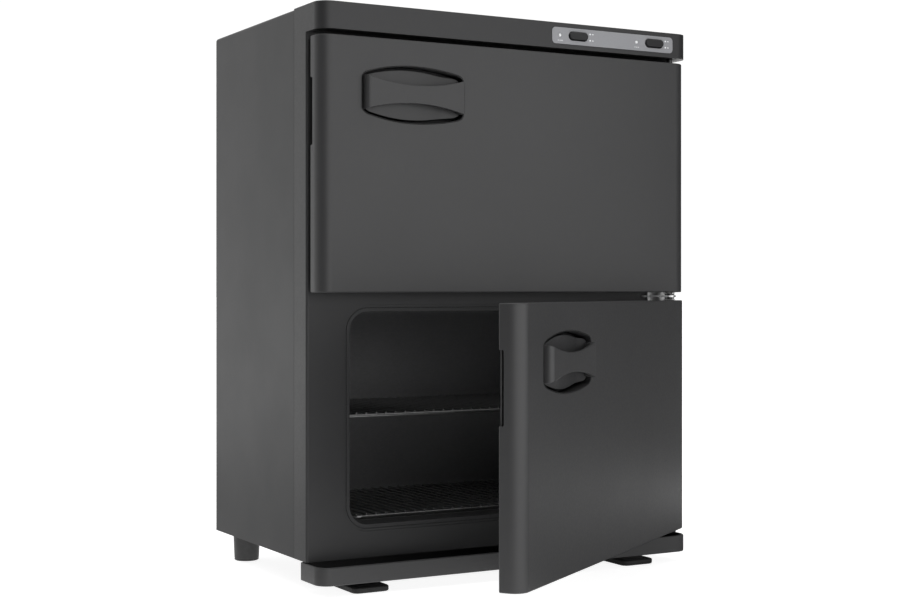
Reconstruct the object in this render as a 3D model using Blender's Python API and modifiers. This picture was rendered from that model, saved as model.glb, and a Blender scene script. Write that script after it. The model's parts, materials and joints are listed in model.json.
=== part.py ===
"""Two-door hot towel cabinet: a heated, insulated steel cabinet with two hinged doors, wire racks and a drip tray.

Units are metres, +Z is up, the doors face -Y and the cabinet stands on z = 0.
Pieces are placed in the cabinet's own frame: x from the middle, y as depth behind the closed doors' face, z above
the floor. One empty, cabinet_frame, moves that frame so that the world origin is the middle of the whole footprint.
"""
import math

import bmesh
import bpy
from mathutils import Matrix, Vector

MM = 0.001
GAP = 0.3 * MM                   # clearance between neighbouring solids

# ---- overall size
WIDTH = 450 * MM
HEIGHT = 586.3 * MM
BODY_BACK = 282.8 * MM           # depth of the back panel's outer face
HALF_W = WIDTH / 2

# ---- front bezel, with the lid that overhangs the doors
BEZEL_FACE = 32.4 * MM
BEZEL_BACK = 62.8 * MM
BODY_BOTTOM = 31.1 * MM
LID_BOTTOM = 559.1 * MM
PLASTIC_WALL = 2.5 * MM
PLAN_RADIUS = 14.5 * MM          # front corners of the lid, the doors and the tray, seen from above
SHEET = 1.2 * MM

# ---- chamber openings
OPENING_HALF_W = 177 * MM
OPENING_HEIGHT = 216 * MM
OPENING_BOTTOM = 64.5 * MM
OPENING_RADIUS = 20 * MM
STOREY = 262.8 * MM              # height from one compartment to the next
LAND_WIDTH = 7 * MM              # sealing land around each opening
LAND_DEPTH = 0.8 * MM
LINER_BACK = 262 * MM
FOAM_JACKET = 13 * MM            # insulation beyond the opening's outline

# ---- doors and their hinge line
DOOR_LEFT = -HALF_W
DOOR_RIGHT = HALF_W - 3 * MM
DOOR_DEPTH = 23.2 * MM
DOOR_HEIGHT = 254 * MM
DOOR_BOTTOM = 37 * MM
HINGE_X = 209.6 * MM
HINGE_DEPTH = 14.8 * MM
LOWER_DOOR_OPEN = math.radians(34.1)
PIN_RADIUS = 2.9 * MM

# ---- door handle
HANDLE_X = -121.5 * MM           # middle of the handle
HANDLE_RISE = 198.8 * MM         # middle of the handle above the door's lower edge
HANDLE_HALF_W = 58 * MM
HANDLE_MID_HALF_H = 29.2 * MM
HANDLE_END_HALF_H = 19.0 * MM    # where the bowed edge would meet the straight side
HANDLE_SIDE_HALF_H = 15.6 * MM   # the straight side itself, below the round corner
BAR_MID_HALF_H = 9.3 * MM
BAR_END_HALF_H = 16.0 * MM
BAR_PROUD_LEFT = 8.6 * MM
BAR_PROUD_RIGHT = 5.4 * MM
BAR_THICKNESS = 4 * MM
BAR_INSET = 1.5 * MM             # from the handle's straight sides to the bar's ends
CUP_DEPTH = 15 * MM

# ---- racks
FLOOR_RACK_HALF_W = 159 * MM     # stands between the liner's round lower corners
MIDDLE_RACK_HALF_W = 174.5 * MM  # reaches the ledges on the liner's sides
RACK_FRONT = 66 * MM
RACK_BACK = 258 * MM
RACK_FRAME_RADIUS = 2 * MM
RACK_WIRE_RADIUS = 1.2 * MM
RACK_PITCH = 11.4 * MM
FLOOR_RACK_RISE = 2.5 * MM       # frame wire's centre above the opening's lower edge
MIDDLE_RACK_RISE = 107.5 * MM

# ---- door seal, measured outward from the chamber opening's outline
SEAL_OUTER = 6.6 * MM
SEAL_INNER = 0.4 * MM
INNER_PANEL = 1.5 * MM           # thickness of a door's inner panel

# ---- hinges
HINGE_SHEET = 2 * MM
BRACKET_TIP = 7 * MM             # radius of a bracket's round end about the pin
BRACKET_LEFT = 184 * MM
BRACKET_RIGHT = 222 * MM
PIN_COLLAR = 5.5 * MM
PIN_REACH = 8 * MM               # how far a pin runs into a door
BUSH_FLANGE = 1.2 * MM           # height of a bush's flange outside the door

# ---- drip tray
TRAY_BOTTOM = 11.6 * MM
TRAY_TOP = 30 * MM
TRAY_BACK = 47 * MM
TRAY_WALL = 2 * MM
TONGUE_X = 115 * MM
TONGUE_HALF_W = 15 * MM
TONGUE_BACK = 105 * MM
TONGUE_BOTTOM = 25 * MM
TONGUE_TOP = 27 * MM

# ---- control panel on the lid
PLATE_LEFT = 44.2 * MM
PLATE_RIGHT = 202.6 * MM
PLATE_BOTTOM = 563.9 * MM
PLATE_TOP = 581.5 * MM
PLATE_RADIUS = 4.5 * MM
PLATE_PROUD = 0.3 * MM
PLATE_SEAT = 0.8 * MM
CONTROL_Z = 573.1 * MM
ROCKER_X = {"left": 77.3 * MM, "right": 177.3 * MM}
LAMP_X = {"left": 54.3 * MM, "right": 153.8 * MM}
ROCKER_HALF_W = 11.7 * MM
ROCKER_HALF_H = 4.2 * MM
ROCKER_PROUD = 2.6 * MM
ROCKER_AXIS_DEPTH = 3 * MM
ROCKER_TILT = math.radians(5)
LAMP_RADIUS = 1.7 * MM

# ---- feet
TOE_OUTER = 184 * MM             # outer edge of a front foot from the middle
TOE_INNER = 143 * MM
TOE_HEIGHT = 5.6 * MM
TOE_FRONT = 8 * MM
TOE_BACK = 100 * MM
NECK_FRONT = 56 * MM             # the upright part of a front foot, under the bezel
NECK_BACK = 96 * MM
NECK_INSET = 5 * MM
REAR_FOOT_X = 200 * MM
REAR_FOOT_DEPTH = 252 * MM
REAR_FOOT_RADIUS = 15 * MM

# ---- back panel: vent slots, power inlet and screws
VENT_COUNT = 6
VENT_PITCH = 22 * MM
VENT_HALF_W = 8 * MM
VENT_HALF_H = 2 * MM
INLET_X = -137.5 * MM
REAR_FITTINGS_Z = 568 * MM       # height of the vents and of the inlet
INLET_HALF_W = 14 * MM
INLET_HALF_H = 10 * MM
SCREW_HOLE_RADIUS = 2 * MM
SCREW_DEPTH = 284.4 * MM         # depth of the back screws' heads, the rearmost point
SCREWS = {"lower_left": (-215 * MM, 45 * MM), "lower_right": (215 * MM, 45 * MM),
          "upper_left": (-215 * MM, 572 * MM), "upper_right": (215 * MM, 572 * MM)}


def open_door_reach():
    """Depth of the open lower door's foremost point: its rounded corner."""
    across = DOOR_LEFT + PLAN_RADIUS - HINGE_X
    behind = PLAN_RADIUS - HINGE_DEPTH
    turned = across * math.sin(LOWER_DOOR_OPEN) + behind * math.cos(LOWER_DOOR_OPEN)
    return HINGE_DEPTH + turned - PLAN_RADIUS


FRONT_Y = -(open_door_reach() + SCREW_DEPTH) / 2     # world y of the closed doors' face


# ---------------------------------------------------------------- scene, collections and materials
for old in list(bpy.data.objects):
    bpy.data.objects.remove(old, do_unlink=True)

PARTS = bpy.data.collections.new("hot_towel_cabinet")
CUTTERS = bpy.data.collections.new("cutters")
bpy.context.scene.collection.children.link(PARTS)
bpy.context.scene.collection.children.link(CUTTERS)


def empty(name, location, parent=None):
    """An axis or a frame for other objects to hang on."""
    frame = bpy.data.objects.new(name, None)
    frame.empty_display_size = 20 * MM
    frame.location = location
    frame.parent = parent
    PARTS.objects.link(frame)
    return frame


CABINET = empty("cabinet_frame", (0, FRONT_Y, 0))


def material(name, color, roughness, metallic=0.0):
    """A Principled BSDF with one colour."""
    made = bpy.data.materials.new(name)
    made.use_nodes = True
    shader = made.node_tree.nodes["Principled BSDF"]
    shader.inputs["Base Color"].default_value = (*color, 1)
    shader.inputs["Roughness"].default_value = roughness
    shader.inputs["Metallic"].default_value = metallic
    return made


CHARCOAL_PLASTIC = material("charcoal_plastic", (0.068, 0.068, 0.070), 0.45)
CHARCOAL_STEEL = material("charcoal_steel", (0.085, 0.085, 0.087), 0.50)
BLACK_PLASTIC = material("black_plastic", (0.020, 0.020, 0.021), 0.50)
BLACK_RUBBER = material("black_rubber", (0.018, 0.018, 0.018), 0.80)
PANEL_GREY = material("panel_grey", (0.30, 0.30, 0.32), 0.40)
LAMP_LENS = material("lamp_lens", (0.85, 0.86, 0.88), 0.25)
BRIGHT_STEEL = material("bright_steel", (0.62, 0.62, 0.62), 0.28, 1.0)
DARK_LINER = material("dark_liner", (0.032, 0.032, 0.034), 0.45, 0.4)
WHITE_FOAM = material("white_foam", (0.80, 0.79, 0.74), 0.90)
HEATER_SILICONE = material("heater_silicone", (0.45, 0.12, 0.05), 0.65)
WHITE_NYLON = material("white_nylon", (0.78, 0.78, 0.76), 0.45)


# ---------------------------------------------------------------- modelling helpers
def add(name, mesh, finish, parent=CABINET, location=(0, 0, 0)):
    """Put a mesh in the scene as a part."""
    part = bpy.data.objects.new(name, mesh)
    if finish and not mesh.materials:
        mesh.materials.append(finish)
    part.location = location
    part.parent = parent
    PARTS.objects.link(part)
    return part


def as_cutter(part):
    """Move an object to the cutters, out of the model itself."""
    PARTS.objects.unlink(part)
    CUTTERS.objects.link(part)
    part.hide_render = True
    part.display_type = "WIRE"
    return part


def boolean(part, other, operation):
    """Cut, join or intersect a part with another object, which then counts as a cutter."""
    if other.name not in CUTTERS.objects:
        as_cutter(other)
    step = part.modifiers.new(operation.lower() + "_" + other.name, "BOOLEAN")
    step.operation = operation
    step.solver = "EXACT"
    step.object = other
    return part


def cut(part, *others):
    for other in others:
        boolean(part, other, "DIFFERENCE")
    return part


def join(part, *others):
    for other in others:
        boolean(part, other, "UNION")
    return part


def soften(part, width, segments=1, angle=50):
    """Round the edges that are sharper than an angle."""
    step = part.modifiers.new("soften", "BEVEL")
    step.width = width
    step.segments = segments
    step.limit_method = "ANGLE"
    step.angle_limit = math.radians(angle)
    step.use_clamp_overlap = True
    return part


def smooth(part, angle=35):
    part.data.shade_smooth()
    part.data.set_sharp_from_angle(angle=math.radians(angle))
    return part


def finish_mesh(name, shape):
    mesh = bpy.data.meshes.new(name)
    shape.to_mesh(mesh)
    shape.free()
    return mesh


def block(name, low, high, finish=None, parent=CABINET, radius=0.0, along="Z", sides=None, segments=5):
    """A box between two corners. The edges along one axis are rounded by a radius; sides picks those edges.

    sides is a test on the signs of an edge's two other coordinates, in X, Y, Z order, such as
    lambda across, up: up > 0 for the upper pair.
    """
    low, high = Vector(low), Vector(high)
    size = high - low
    middle = (low + high) / 2
    shape = bmesh.new()
    bmesh.ops.create_cube(shape, size=1, matrix=Matrix.Translation(middle) @ Matrix.Diagonal((*size, 1)))
    if radius:
        axis = "XYZ".index(along)
        others = [index for index in range(3) if index != axis]
        edges = []
        for edge in shape.edges:
            span = edge.verts[1].co - edge.verts[0].co
            centre = (edge.verts[0].co + edge.verts[1].co) / 2 - middle
            if abs(span[axis]) > 1e-9 and (sides is None or sides(*(centre[other] for other in others))):
                edges.append(edge)
        bmesh.ops.bevel(shape, geom=edges, offset=radius, offset_type="OFFSET", segments=segments,
                        profile=0.5, affect="EDGES")
    return add(name, finish_mesh(name, shape), finish, parent)


def cylinder(name, radius, start, end, finish=None, parent=CABINET, sides=20):
    """A round bar from one point to another."""
    start, end = Vector(start), Vector(end)
    turn = Vector((0, 0, 1)).rotation_difference(end - start).to_matrix().to_4x4()
    shape = bmesh.new()
    bmesh.ops.create_cone(shape, cap_ends=True, segments=sides, radius1=radius, radius2=radius,
                          depth=(end - start).length, matrix=Matrix.Translation((start + end) / 2) @ turn)
    return smooth(add(name, finish_mesh(name, shape), finish, parent))


def turned(name, profile, finish, parent, location, steps=20, rotation=(0, 0, 0)):
    """A profile of (radius, height) points turned about local Z; it runs down the outer side."""
    mesh = bpy.data.meshes.new(name)
    points = [(radius, 0, height) for radius, height in profile]
    last = len(points) - 1
    edges = [(index, index + 1) for index in range(last)]
    if profile[0][0] > 0:
        edges.append((last, 0))
    mesh.from_pydata(points, edges, [])
    part = add(name, mesh, finish, parent, location)
    part.rotation_euler = rotation
    spin = part.modifiers.new("turn", "SCREW")
    spin.steps = steps
    spin.render_steps = steps
    spin.use_merge_vertices = True
    spin.merge_threshold = 0.00001
    spin.use_smooth_shade = True
    return part


def outline_prism(name, points, front, back, finish=None, parent=CABINET, facing="Y"):
    """A flat outline, given as (x, z) or (x, y) points, extruded between two depths or heights.

    facing "Y" stands the outline upright, from depth front to depth back; "Z" lays it flat between two heights.
    """
    curve = bpy.data.curves.new(name, "CURVE")
    curve.dimensions = "2D"
    curve.fill_mode = "BOTH"
    curve.extrude = abs(back - front) / 2
    spline = curve.splines.new("POLY")
    spline.points.add(len(points) - 1)
    for point, (across, up) in zip(spline.points, points):
        point.co = (across, up, 0, 1)
    spline.use_cyclic_u = True
    drawn = bpy.data.objects.new(name, curve)
    PARTS.objects.link(drawn)
    middle = (front + back) / 2
    if facing == "Y":
        place = Matrix.Translation((0, middle, 0)) @ Matrix.Rotation(math.pi / 2, 4, "X")
    else:
        place = Matrix.Translation((0, 0, middle))
    return mesh_from_curve(drawn, place, finish, parent)


def mesh_from_curve(drawn, place, finish, parent):
    """Turn a curve object into a welded mesh part."""
    bpy.context.view_layer.update()
    evaluated = drawn.evaluated_get(bpy.context.evaluated_depsgraph_get())
    mesh = bpy.data.meshes.new_from_object(evaluated)
    name = drawn.name
    bpy.data.objects.remove(drawn, do_unlink=True)
    shape = bmesh.new()
    shape.from_mesh(mesh)
    bmesh.ops.remove_doubles(shape, verts=shape.verts, dist=0.000005)
    bmesh.ops.transform(shape, matrix=place, verts=shape.verts)
    bmesh.ops.recalc_face_normals(shape, faces=shape.faces)
    shape.to_mesh(mesh)
    shape.free()
    mesh.name = name
    return add(name, mesh, finish, parent)


def arc(centre, radius, start, end, steps):
    """Points of an arc, angles in degrees."""
    angles = [math.radians(start + (end - start) * step / steps) for step in range(steps + 1)]
    return [(centre[0] + radius * math.cos(angle), centre[1] + radius * math.sin(angle)) for angle in angles]


def stadium(centre, half_w, half_h, steps=6):
    """A slot shape: straight sides with round ends."""
    across, up = centre
    straight = half_w - half_h
    return (arc((across + straight, up), half_h, -90, 90, steps)
            + arc((across - straight, up), half_h, 90, 270, steps))


def rounded_rectangle(low, high, radius, steps=4):
    """Corner points of a rectangle with round corners."""
    (left, bottom), (right, top) = low, high
    return (arc((right - radius, bottom + radius), radius, -90, 0, steps)
            + arc((right - radius, top - radius), radius, 0, 90, steps)
            + arc((left + radius, top - radius), radius, 90, 180, steps)
            + arc((left + radius, bottom + radius), radius, 180, 270, steps))


def opening_block(name, storey, grow, front, back, finish=None, parent=CABINET):
    """A block the shape of one chamber opening, grown on all sides by a distance."""
    bottom = OPENING_BOTTOM + storey * STOREY
    return block(name, (-OPENING_HALF_W - grow, front, bottom - grow),
                 (OPENING_HALF_W + grow, back, bottom + OPENING_HEIGHT + grow), finish, parent,
                 radius=OPENING_RADIUS + grow, along="Y")


# ---------------------------------------------------------------- casing
def make_wrap():
    """Inverted U of painted sheet: both sides and the top, with a rear flange for the back panel."""
    front = BEZEL_BACK + GAP
    back = BODY_BACK - SHEET - GAP
    side_lip, top_lip = 14 * MM, 6 * MM
    corner = 4 * MM
    below = 10 * MM

    def upper(across, up):
        return up > 0

    wrap = block("cabinet_wrap", (-HALF_W, front, BODY_BOTTOM), (HALF_W, back, HEIGHT), CHARCOAL_STEEL,
                 radius=corner, along="Y", sides=upper, segments=3)
    inside = block("wrap_inside", (-HALF_W + SHEET, front - below, BODY_BOTTOM - below),
                   (HALF_W - SHEET, back - SHEET, HEIGHT - SHEET), radius=corner - SHEET, along="Y",
                   sides=upper, segments=3)
    rear = block("wrap_rear_opening", (-HALF_W + side_lip, front, BODY_BOTTOM - below),
                 (HALF_W - side_lip, back + below, HEIGHT - top_lip))
    cut(wrap, inside, rear)
    for corner_name, (across, up) in SCREWS.items():
        hole = cylinder("wrap_screw_hole_" + corner_name, SCREW_HOLE_RADIUS, (across, back - below, up),
                        (across, back + below, up), sides=12)
        cut(wrap, hole)
    return smooth(wrap)


def make_back_panel():
    """Flat rear cover with vent slots, four screw holes and the cut-out for the power inlet."""
    front = BODY_BACK - SHEET
    edge = 0.8 * MM
    panel = block("back_panel", (-HALF_W + edge, front, BODY_BOTTOM + 1.5 * MM),
                  (HALF_W - edge, BODY_BACK, HEIGHT - edge), CHARCOAL_STEEL, radius=3 * MM, along="Y", segments=3)
    for index in range(VENT_COUNT):
        spot = ((index - (VENT_COUNT - 1) / 2) * VENT_PITCH, REAR_FITTINGS_Z)
        slot = outline_prism("vent_slot_%d" % (index + 1), stadium(spot, VENT_HALF_W, VENT_HALF_H, 3),
                             front - GAP, BODY_BACK + GAP)
        cut(panel, slot)
    for corner_name, (across, up) in SCREWS.items():
        hole = cylinder("panel_screw_hole_" + corner_name, SCREW_HOLE_RADIUS, (across, front - GAP, up),
                        (across, BODY_BACK + GAP, up), sides=12)
        cut(panel, hole)
    clear = 0.5 * MM
    inlet_hole = block("inlet_cutout",
                       (INLET_X - INLET_HALF_W - clear, front - GAP, REAR_FITTINGS_Z - INLET_HALF_H - clear),
                       (INLET_X + INLET_HALF_W + clear, BODY_BACK + GAP, REAR_FITTINGS_Z + INLET_HALF_H + clear))
    return cut(panel, inlet_hole)


def make_back_screws():
    """Pan-head screws through the back panel into the wrap's flange."""
    for corner_name, (across, up) in SCREWS.items():
        head = SCREW_DEPTH - BODY_BACK - GAP
        rim, crown, shank, length = 3.1 * MM, 2 * MM, 1.6 * MM, 6 * MM
        profile = [(0, head), (crown, head), (rim, head / 2), (rim, 0), (shank, 0), (shank, -length), (0, -length)]
        turned("back_screw_" + corner_name, profile, BRIGHT_STEEL, CABINET, (across, BODY_BACK + GAP, up),
               steps=12, rotation=(-math.pi / 2, 0, 0))


def make_base_pan():
    """Bottom sheet with turned-up edges."""
    front = BEZEL_BACK + GAP
    back = BODY_BACK - 2 * SHEET - 2 * GAP
    side = HALF_W - SHEET - GAP
    rim = 10 * MM
    pan = block("base_pan", (-side, front, BODY_BOTTOM), (side, back, BODY_BOTTOM + rim), CHARCOAL_STEEL)
    hollow = block("base_hollow", (-side + SHEET, front + SHEET, BODY_BOTTOM + SHEET),
                   (side - SHEET, back - SHEET, BODY_BOTTOM + 2 * rim))
    return cut(pan, hollow)


def make_front_bezel():
    """Moulded front frame with the lid fascia: a shell that is open to the rear, with two chamber openings."""
    def front_edges(across, depth):
        return depth < 0

    wall = PLASTIC_WALL
    beyond = BEZEL_BACK + 8 * MM
    bezel = block("front_bezel", (-HALF_W, BEZEL_FACE, BODY_BOTTOM), (HALF_W, BEZEL_BACK, LID_BOTTOM + wall / 2),
                  CHARCOAL_PLASTIC, radius=2.5 * MM, along="Z", sides=front_edges, segments=2)
    lid = block("lid_block", (-HALF_W, 0, LID_BOTTOM), (HALF_W, BEZEL_BACK, HEIGHT), radius=PLAN_RADIUS,
                along="Z", sides=front_edges)
    join(bezel, lid)

    cavity = block("bezel_cavity", (-HALF_W + wall, BEZEL_FACE + wall, BODY_BOTTOM + wall),
                   (HALF_W - wall, beyond, HEIGHT - wall - GAP))
    lid_cavity = block("lid_cavity", (-HALF_W + wall, wall, LID_BOTTOM + wall),
                       (HALF_W - wall, beyond - GAP, HEIGHT - wall), radius=PLAN_RADIUS - wall, along="Z",
                       sides=front_edges)
    join(cavity, lid_cavity)
    for storey, label in enumerate(("lower", "upper")):
        cut(cavity, opening_block(label + "_collar", storey, wall, BEZEL_FACE - wall, beyond + wall))
    cut(bezel, cavity)
    for storey, label in enumerate(("lower", "upper")):
        cut(bezel, opening_block(label + "_land", storey, LAND_WIDTH, BEZEL_FACE - wall, BEZEL_FACE + LAND_DEPTH))
        cut(bezel, opening_block(label + "_mouth", storey, 0, BEZEL_FACE - wall, beyond + 2 * wall))

    seat = outline_prism("plate_seat",
                         rounded_rectangle((PLATE_LEFT - GAP, PLATE_BOTTOM - GAP),
                                           (PLATE_RIGHT + GAP, PLATE_TOP + GAP), PLATE_RADIUS), -wall, PLATE_SEAT)
    cut(bezel, seat)
    for side in ("left", "right"):
        hole = outline_prism(side + "_rocker_hole", stadium((ROCKER_X[side], CONTROL_Z), 12.6 * MM, 5.1 * MM),
                             0, 2 * wall)
        lamp_hole = cylinder(side + "_lamp_hole", LAMP_RADIUS + 0.4 * MM, (LAMP_X[side], 0, CONTROL_Z),
                             (LAMP_X[side], 2 * wall, CONTROL_Z), sides=12)
        cut(bezel, hole, lamp_hole)
    pin_hole = cylinder("lid_pin_hole", PIN_RADIUS + 0.4 * MM, (HINGE_X, HINGE_DEPTH, LID_BOTTOM - wall),
                        (HINGE_X, HINGE_DEPTH, LID_BOTTOM + 2 * wall), sides=16)
    cut(bezel, pin_hole)
    return smooth(bezel)


# ---------------------------------------------------------------- chambers
def make_chamber(storey, label):
    """One heated compartment: aluminium liner with rack ledges, insulation, heater pad and thermostat."""
    floor = OPENING_BOTTOM + storey * STOREY
    ceiling = floor + OPENING_HEIGHT
    front = BEZEL_BACK + GAP
    skin = SHEET

    liner = opening_block(label + "_chamber_liner", storey, skin, front, LINER_BACK, DARK_LINER)
    flange = opening_block(label + "_liner_flange", storey, 9 * MM, front, front + skin)
    hollow = opening_block(label + "_liner_hollow", storey, 0, front - 5 * MM, LINER_BACK - skin)
    join(liner, flange)
    cut(liner, hollow)
    ledge_top = floor + MIDDLE_RACK_RISE - RACK_FRAME_RADIUS - GAP
    for side in (-1, 1):
        inner, outer = side * (OPENING_HALF_W - 4 * MM), side * (OPENING_HALF_W + skin / 2)
        ledge = block("%s_ledge_%s" % (label, "left" if side < 0 else "right"),
                      (min(inner, outer), front + 5 * MM, ledge_top - 3 * MM),
                      (max(inner, outer), LINER_BACK - skin / 2, ledge_top))
        join(liner, ledge)
    smooth(liner)

    jacket = FOAM_JACKET
    pad_room = 2.5 * MM
    clear = skin + GAP
    foam = block(label + "_insulation", (-OPENING_HALF_W - jacket, front + skin + GAP, floor - jacket),
                 (OPENING_HALF_W + jacket, LINER_BACK + 9 * MM, ceiling + jacket), WHITE_FOAM)
    pocket = block(label + "_foam_pocket", (-OPENING_HALF_W - clear, front - 5 * MM, floor - clear - pad_room),
                   (OPENING_HALF_W + clear, LINER_BACK + GAP, ceiling + clear))
    sensor_spot = (90 * MM, LINER_BACK, floor + OPENING_HEIGHT * 0.7)
    sensor_hole = cylinder(label + "_sensor_hole", 10 * MM, sensor_spot,
                           (sensor_spot[0], LINER_BACK + 20 * MM, sensor_spot[2]), sides=16)
    cut(foam, pocket, sensor_hole)

    block(label + "_heater_pad", (-140 * MM, 90 * MM, floor - clear - pad_room + GAP),
          (140 * MM, 240 * MM, floor - clear), HEATER_SILICONE, radius=8 * MM, along="Z", segments=3)

    profile = [(0, 8 * MM), (5 * MM, 8 * MM), (5 * MM, 5 * MM), (8 * MM, 5 * MM), (8 * MM, 0), (0, 0)]
    turned(label + "_thermostat", profile, BLACK_PLASTIC, CABINET,
           (sensor_spot[0], LINER_BACK + GAP, sensor_spot[2]), steps=16, rotation=(-math.pi / 2, 0, 0))


def rack_mesh(half_w):
    """A rack: a closed frame wire with thin wires welded across its top, front to back."""
    middle = (RACK_FRONT + RACK_BACK) / 2
    half_depth = (RACK_BACK - RACK_FRONT) / 2
    curve = bpy.data.curves.new("rack_frame", "CURVE")
    curve.dimensions = "3D"
    curve.bevel_depth = RACK_FRAME_RADIUS
    curve.bevel_resolution = 1
    points = rounded_rectangle((-half_w, middle - half_depth), (half_w, middle + half_depth), 12 * MM, 3)
    spline = curve.splines.new("POLY")
    spline.points.add(len(points) - 1)
    for point, (across, depth) in zip(spline.points, points):
        point.co = (across, depth, 0, 1)
    spline.use_cyclic_u = True
    drawn = bpy.data.objects.new("rack_frame", curve)
    PARTS.objects.link(drawn)
    frame = mesh_from_curve(drawn, Matrix.Identity(4), BRIGHT_STEEL, None)

    wires = bmesh.new()
    overlap = 0.5 * MM
    rise = RACK_FRAME_RADIUS + RACK_WIRE_RADIUS - overlap
    length = RACK_BACK - RACK_FRONT + 3 * MM
    spans = int(2 * (half_w - 5 * MM) / RACK_PITCH)
    for index in range(spans + 1):
        across = (index - spans / 2) * RACK_PITCH
        place = Matrix.Translation((across, middle, rise)) @ Matrix.Rotation(math.pi / 2, 4, "X")
        bmesh.ops.create_cone(wires, cap_ends=True, segments=4, radius1=RACK_WIRE_RADIUS,
                              radius2=RACK_WIRE_RADIUS, depth=length, matrix=place)
    wire_set = add("rack_wires", finish_mesh("rack_wires", wires), None, None)
    join(frame, wire_set)
    bpy.context.view_layer.update()
    evaluated = frame.evaluated_get(bpy.context.evaluated_depsgraph_get())
    mesh = bpy.data.meshes.new_from_object(evaluated)
    bpy.data.objects.remove(frame, do_unlink=True)
    bpy.data.objects.remove(wire_set, do_unlink=True)
    mesh.shade_smooth()
    return mesh


def make_racks():
    low_mesh, middle_mesh = rack_mesh(FLOOR_RACK_HALF_W), rack_mesh(MIDDLE_RACK_HALF_W)
    for storey, label in enumerate(("lower", "upper")):
        floor = OPENING_BOTTOM + storey * STOREY
        add(label + "_floor_rack", low_mesh, BRIGHT_STEEL, CABINET, (0, 0, floor + FLOOR_RACK_RISE))
        add(label + "_middle_rack", middle_mesh, BRIGHT_STEEL, CABINET, (0, 0, floor + MIDDLE_RACK_RISE))


# ---------------------------------------------------------------- hinges
def bracket_outline(back):
    """Plan of a hinge plate: wide at the bezel, with a round tip about the pin."""
    shoulder = back - 4 * MM
    return ([(BRACKET_RIGHT, back), (BRACKET_LEFT, back), (BRACKET_LEFT, shoulder)]
            + arc((HINGE_X, HINGE_DEPTH), BRACKET_TIP, 225, 360, 6))


def make_hinges():
    """Three brackets and three pins on one line at the right."""
    plate = HINGE_SHEET
    back = BEZEL_FACE - GAP
    hidden = 0.1 * MM             # a joined block stays this far inside the piece that it joins
    bore = PIN_RADIUS + GAP
    middle = DOOR_BOTTOM + (STOREY + DOOR_HEIGHT) / 2
    low_plate = 33.4 * MM
    levels = {"middle": (middle, middle - 15 * MM, middle + 15 * MM),
              "bottom": (low_plate, low_plate - plate / 2, low_plate + 19 * MM)}
    for label, (level, flange_low, flange_high) in levels.items():
        bracket = outline_prism(label + "_hinge_bracket", bracket_outline(back), level - plate / 2,
                                level + plate / 2, BRIGHT_STEEL if label == "middle" else CHARCOAL_STEEL,
                                facing="Z")
        flange = block(label + "_hinge_flange", (BRACKET_LEFT + 7 * MM, back - plate, flange_low),
                       (BRACKET_RIGHT - MM, back - hidden, flange_high))
        join(bracket, flange)
        hole = cylinder(label + "_bracket_bore", bore, (HINGE_X, HINGE_DEPTH, level - 2 * plate),
                        (HINGE_X, HINGE_DEPTH, level + 2 * plate), sides=16)
        smooth(cut(bracket, hole))

    top_level = LID_BOTTOM + PLASTIC_WALL + GAP
    left, right, rear = 192 * MM, 220 * MM, 58 * MM
    top = block("top_hinge_bracket", (left, 5 * MM, top_level), (right, rear, top_level + plate),
                CHARCOAL_STEEL, radius=5 * MM, along="Z", segments=2)
    upright = block("top_hinge_upright", (left + hidden, rear - plate, top_level + plate / 2),
                    (right - hidden, rear - hidden, top_level + 14 * MM))
    join(top, upright)
    hole = cylinder("top_bracket_bore", bore, (HINGE_X, HINGE_DEPTH, top_level - plate),
                    (HINGE_X, HINGE_DEPTH, top_level + 2 * plate), sides=16)
    smooth(cut(top, hole))

    collar, reach, washer = PIN_COLLAR, PIN_REACH, BUSH_FLANGE
    face = plate / 2 + GAP
    low_face, high_face = middle - face, middle + face
    lower_top, upper_bottom = DOOR_BOTTOM + DOOR_HEIGHT, DOOR_BOTTOM + STOREY
    pin_line = (HINGE_X, HINGE_DEPTH, 0)
    profile = [(0, upper_bottom + reach), (PIN_RADIUS, upper_bottom + reach),
               (PIN_RADIUS, upper_bottom - washer - GAP), (collar, upper_bottom - washer - GAP),
               (collar, high_face), (PIN_RADIUS, high_face), (PIN_RADIUS, low_face), (collar, low_face),
               (collar, lower_top + washer + GAP), (PIN_RADIUS, lower_top + washer + GAP),
               (PIN_RADIUS, lower_top - reach), (0, lower_top - reach)]
    turned("middle_hinge_pin", profile, BRIGHT_STEEL, CABINET, pin_line, steps=16)

    upper_top = upper_bottom + DOOR_HEIGHT
    head = top_level + plate + GAP
    profile = [(0, head + 2 * MM), (collar, head + 2 * MM), (collar, head), (PIN_RADIUS, head),
               (PIN_RADIUS, upper_top - reach), (0, upper_top - reach)]
    turned("top_hinge_pin", profile, BRIGHT_STEEL, CABINET, pin_line, steps=16)

    stop = low_plate + face
    profile = [(0, DOOR_BOTTOM + reach), (PIN_RADIUS, DOOR_BOTTOM + reach),
               (PIN_RADIUS, DOOR_BOTTOM - washer - GAP), (collar, DOOR_BOTTOM - washer - GAP), (collar, stop),
               (PIN_RADIUS, stop), (PIN_RADIUS, low_plate - plate), (0, low_plate - plate)]
    turned("bottom_hinge_pin", profile, BRIGHT_STEEL, CABINET, pin_line, steps=16)


# ---------------------------------------------------------------- doors
def handle_outline(grow=0.0):
    """The handle's outline: bowed top and bottom, straight sides, round corners."""
    half_w, mid, end = HANDLE_HALF_W + grow, HANDLE_MID_HALF_H + grow, HANDLE_END_HALF_H + grow
    bow = mid - end
    radius = (half_w ** 2 + bow ** 2) / (2 * bow)
    spread = math.degrees(math.asin(half_w / radius))
    trim = spread * 0.88          # the arc stops short, where the corner begins
    top = arc((0, mid - radius), radius, 90 - trim, 90 + trim, 10)
    sides = HANDLE_SIDE_HALF_H + grow
    bottom = [(across, -up) for across, up in reversed(top)]
    return [(half_w, -sides), (half_w, sides)] + top + [(-half_w, sides), (-half_w, -sides)] + bottom


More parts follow.
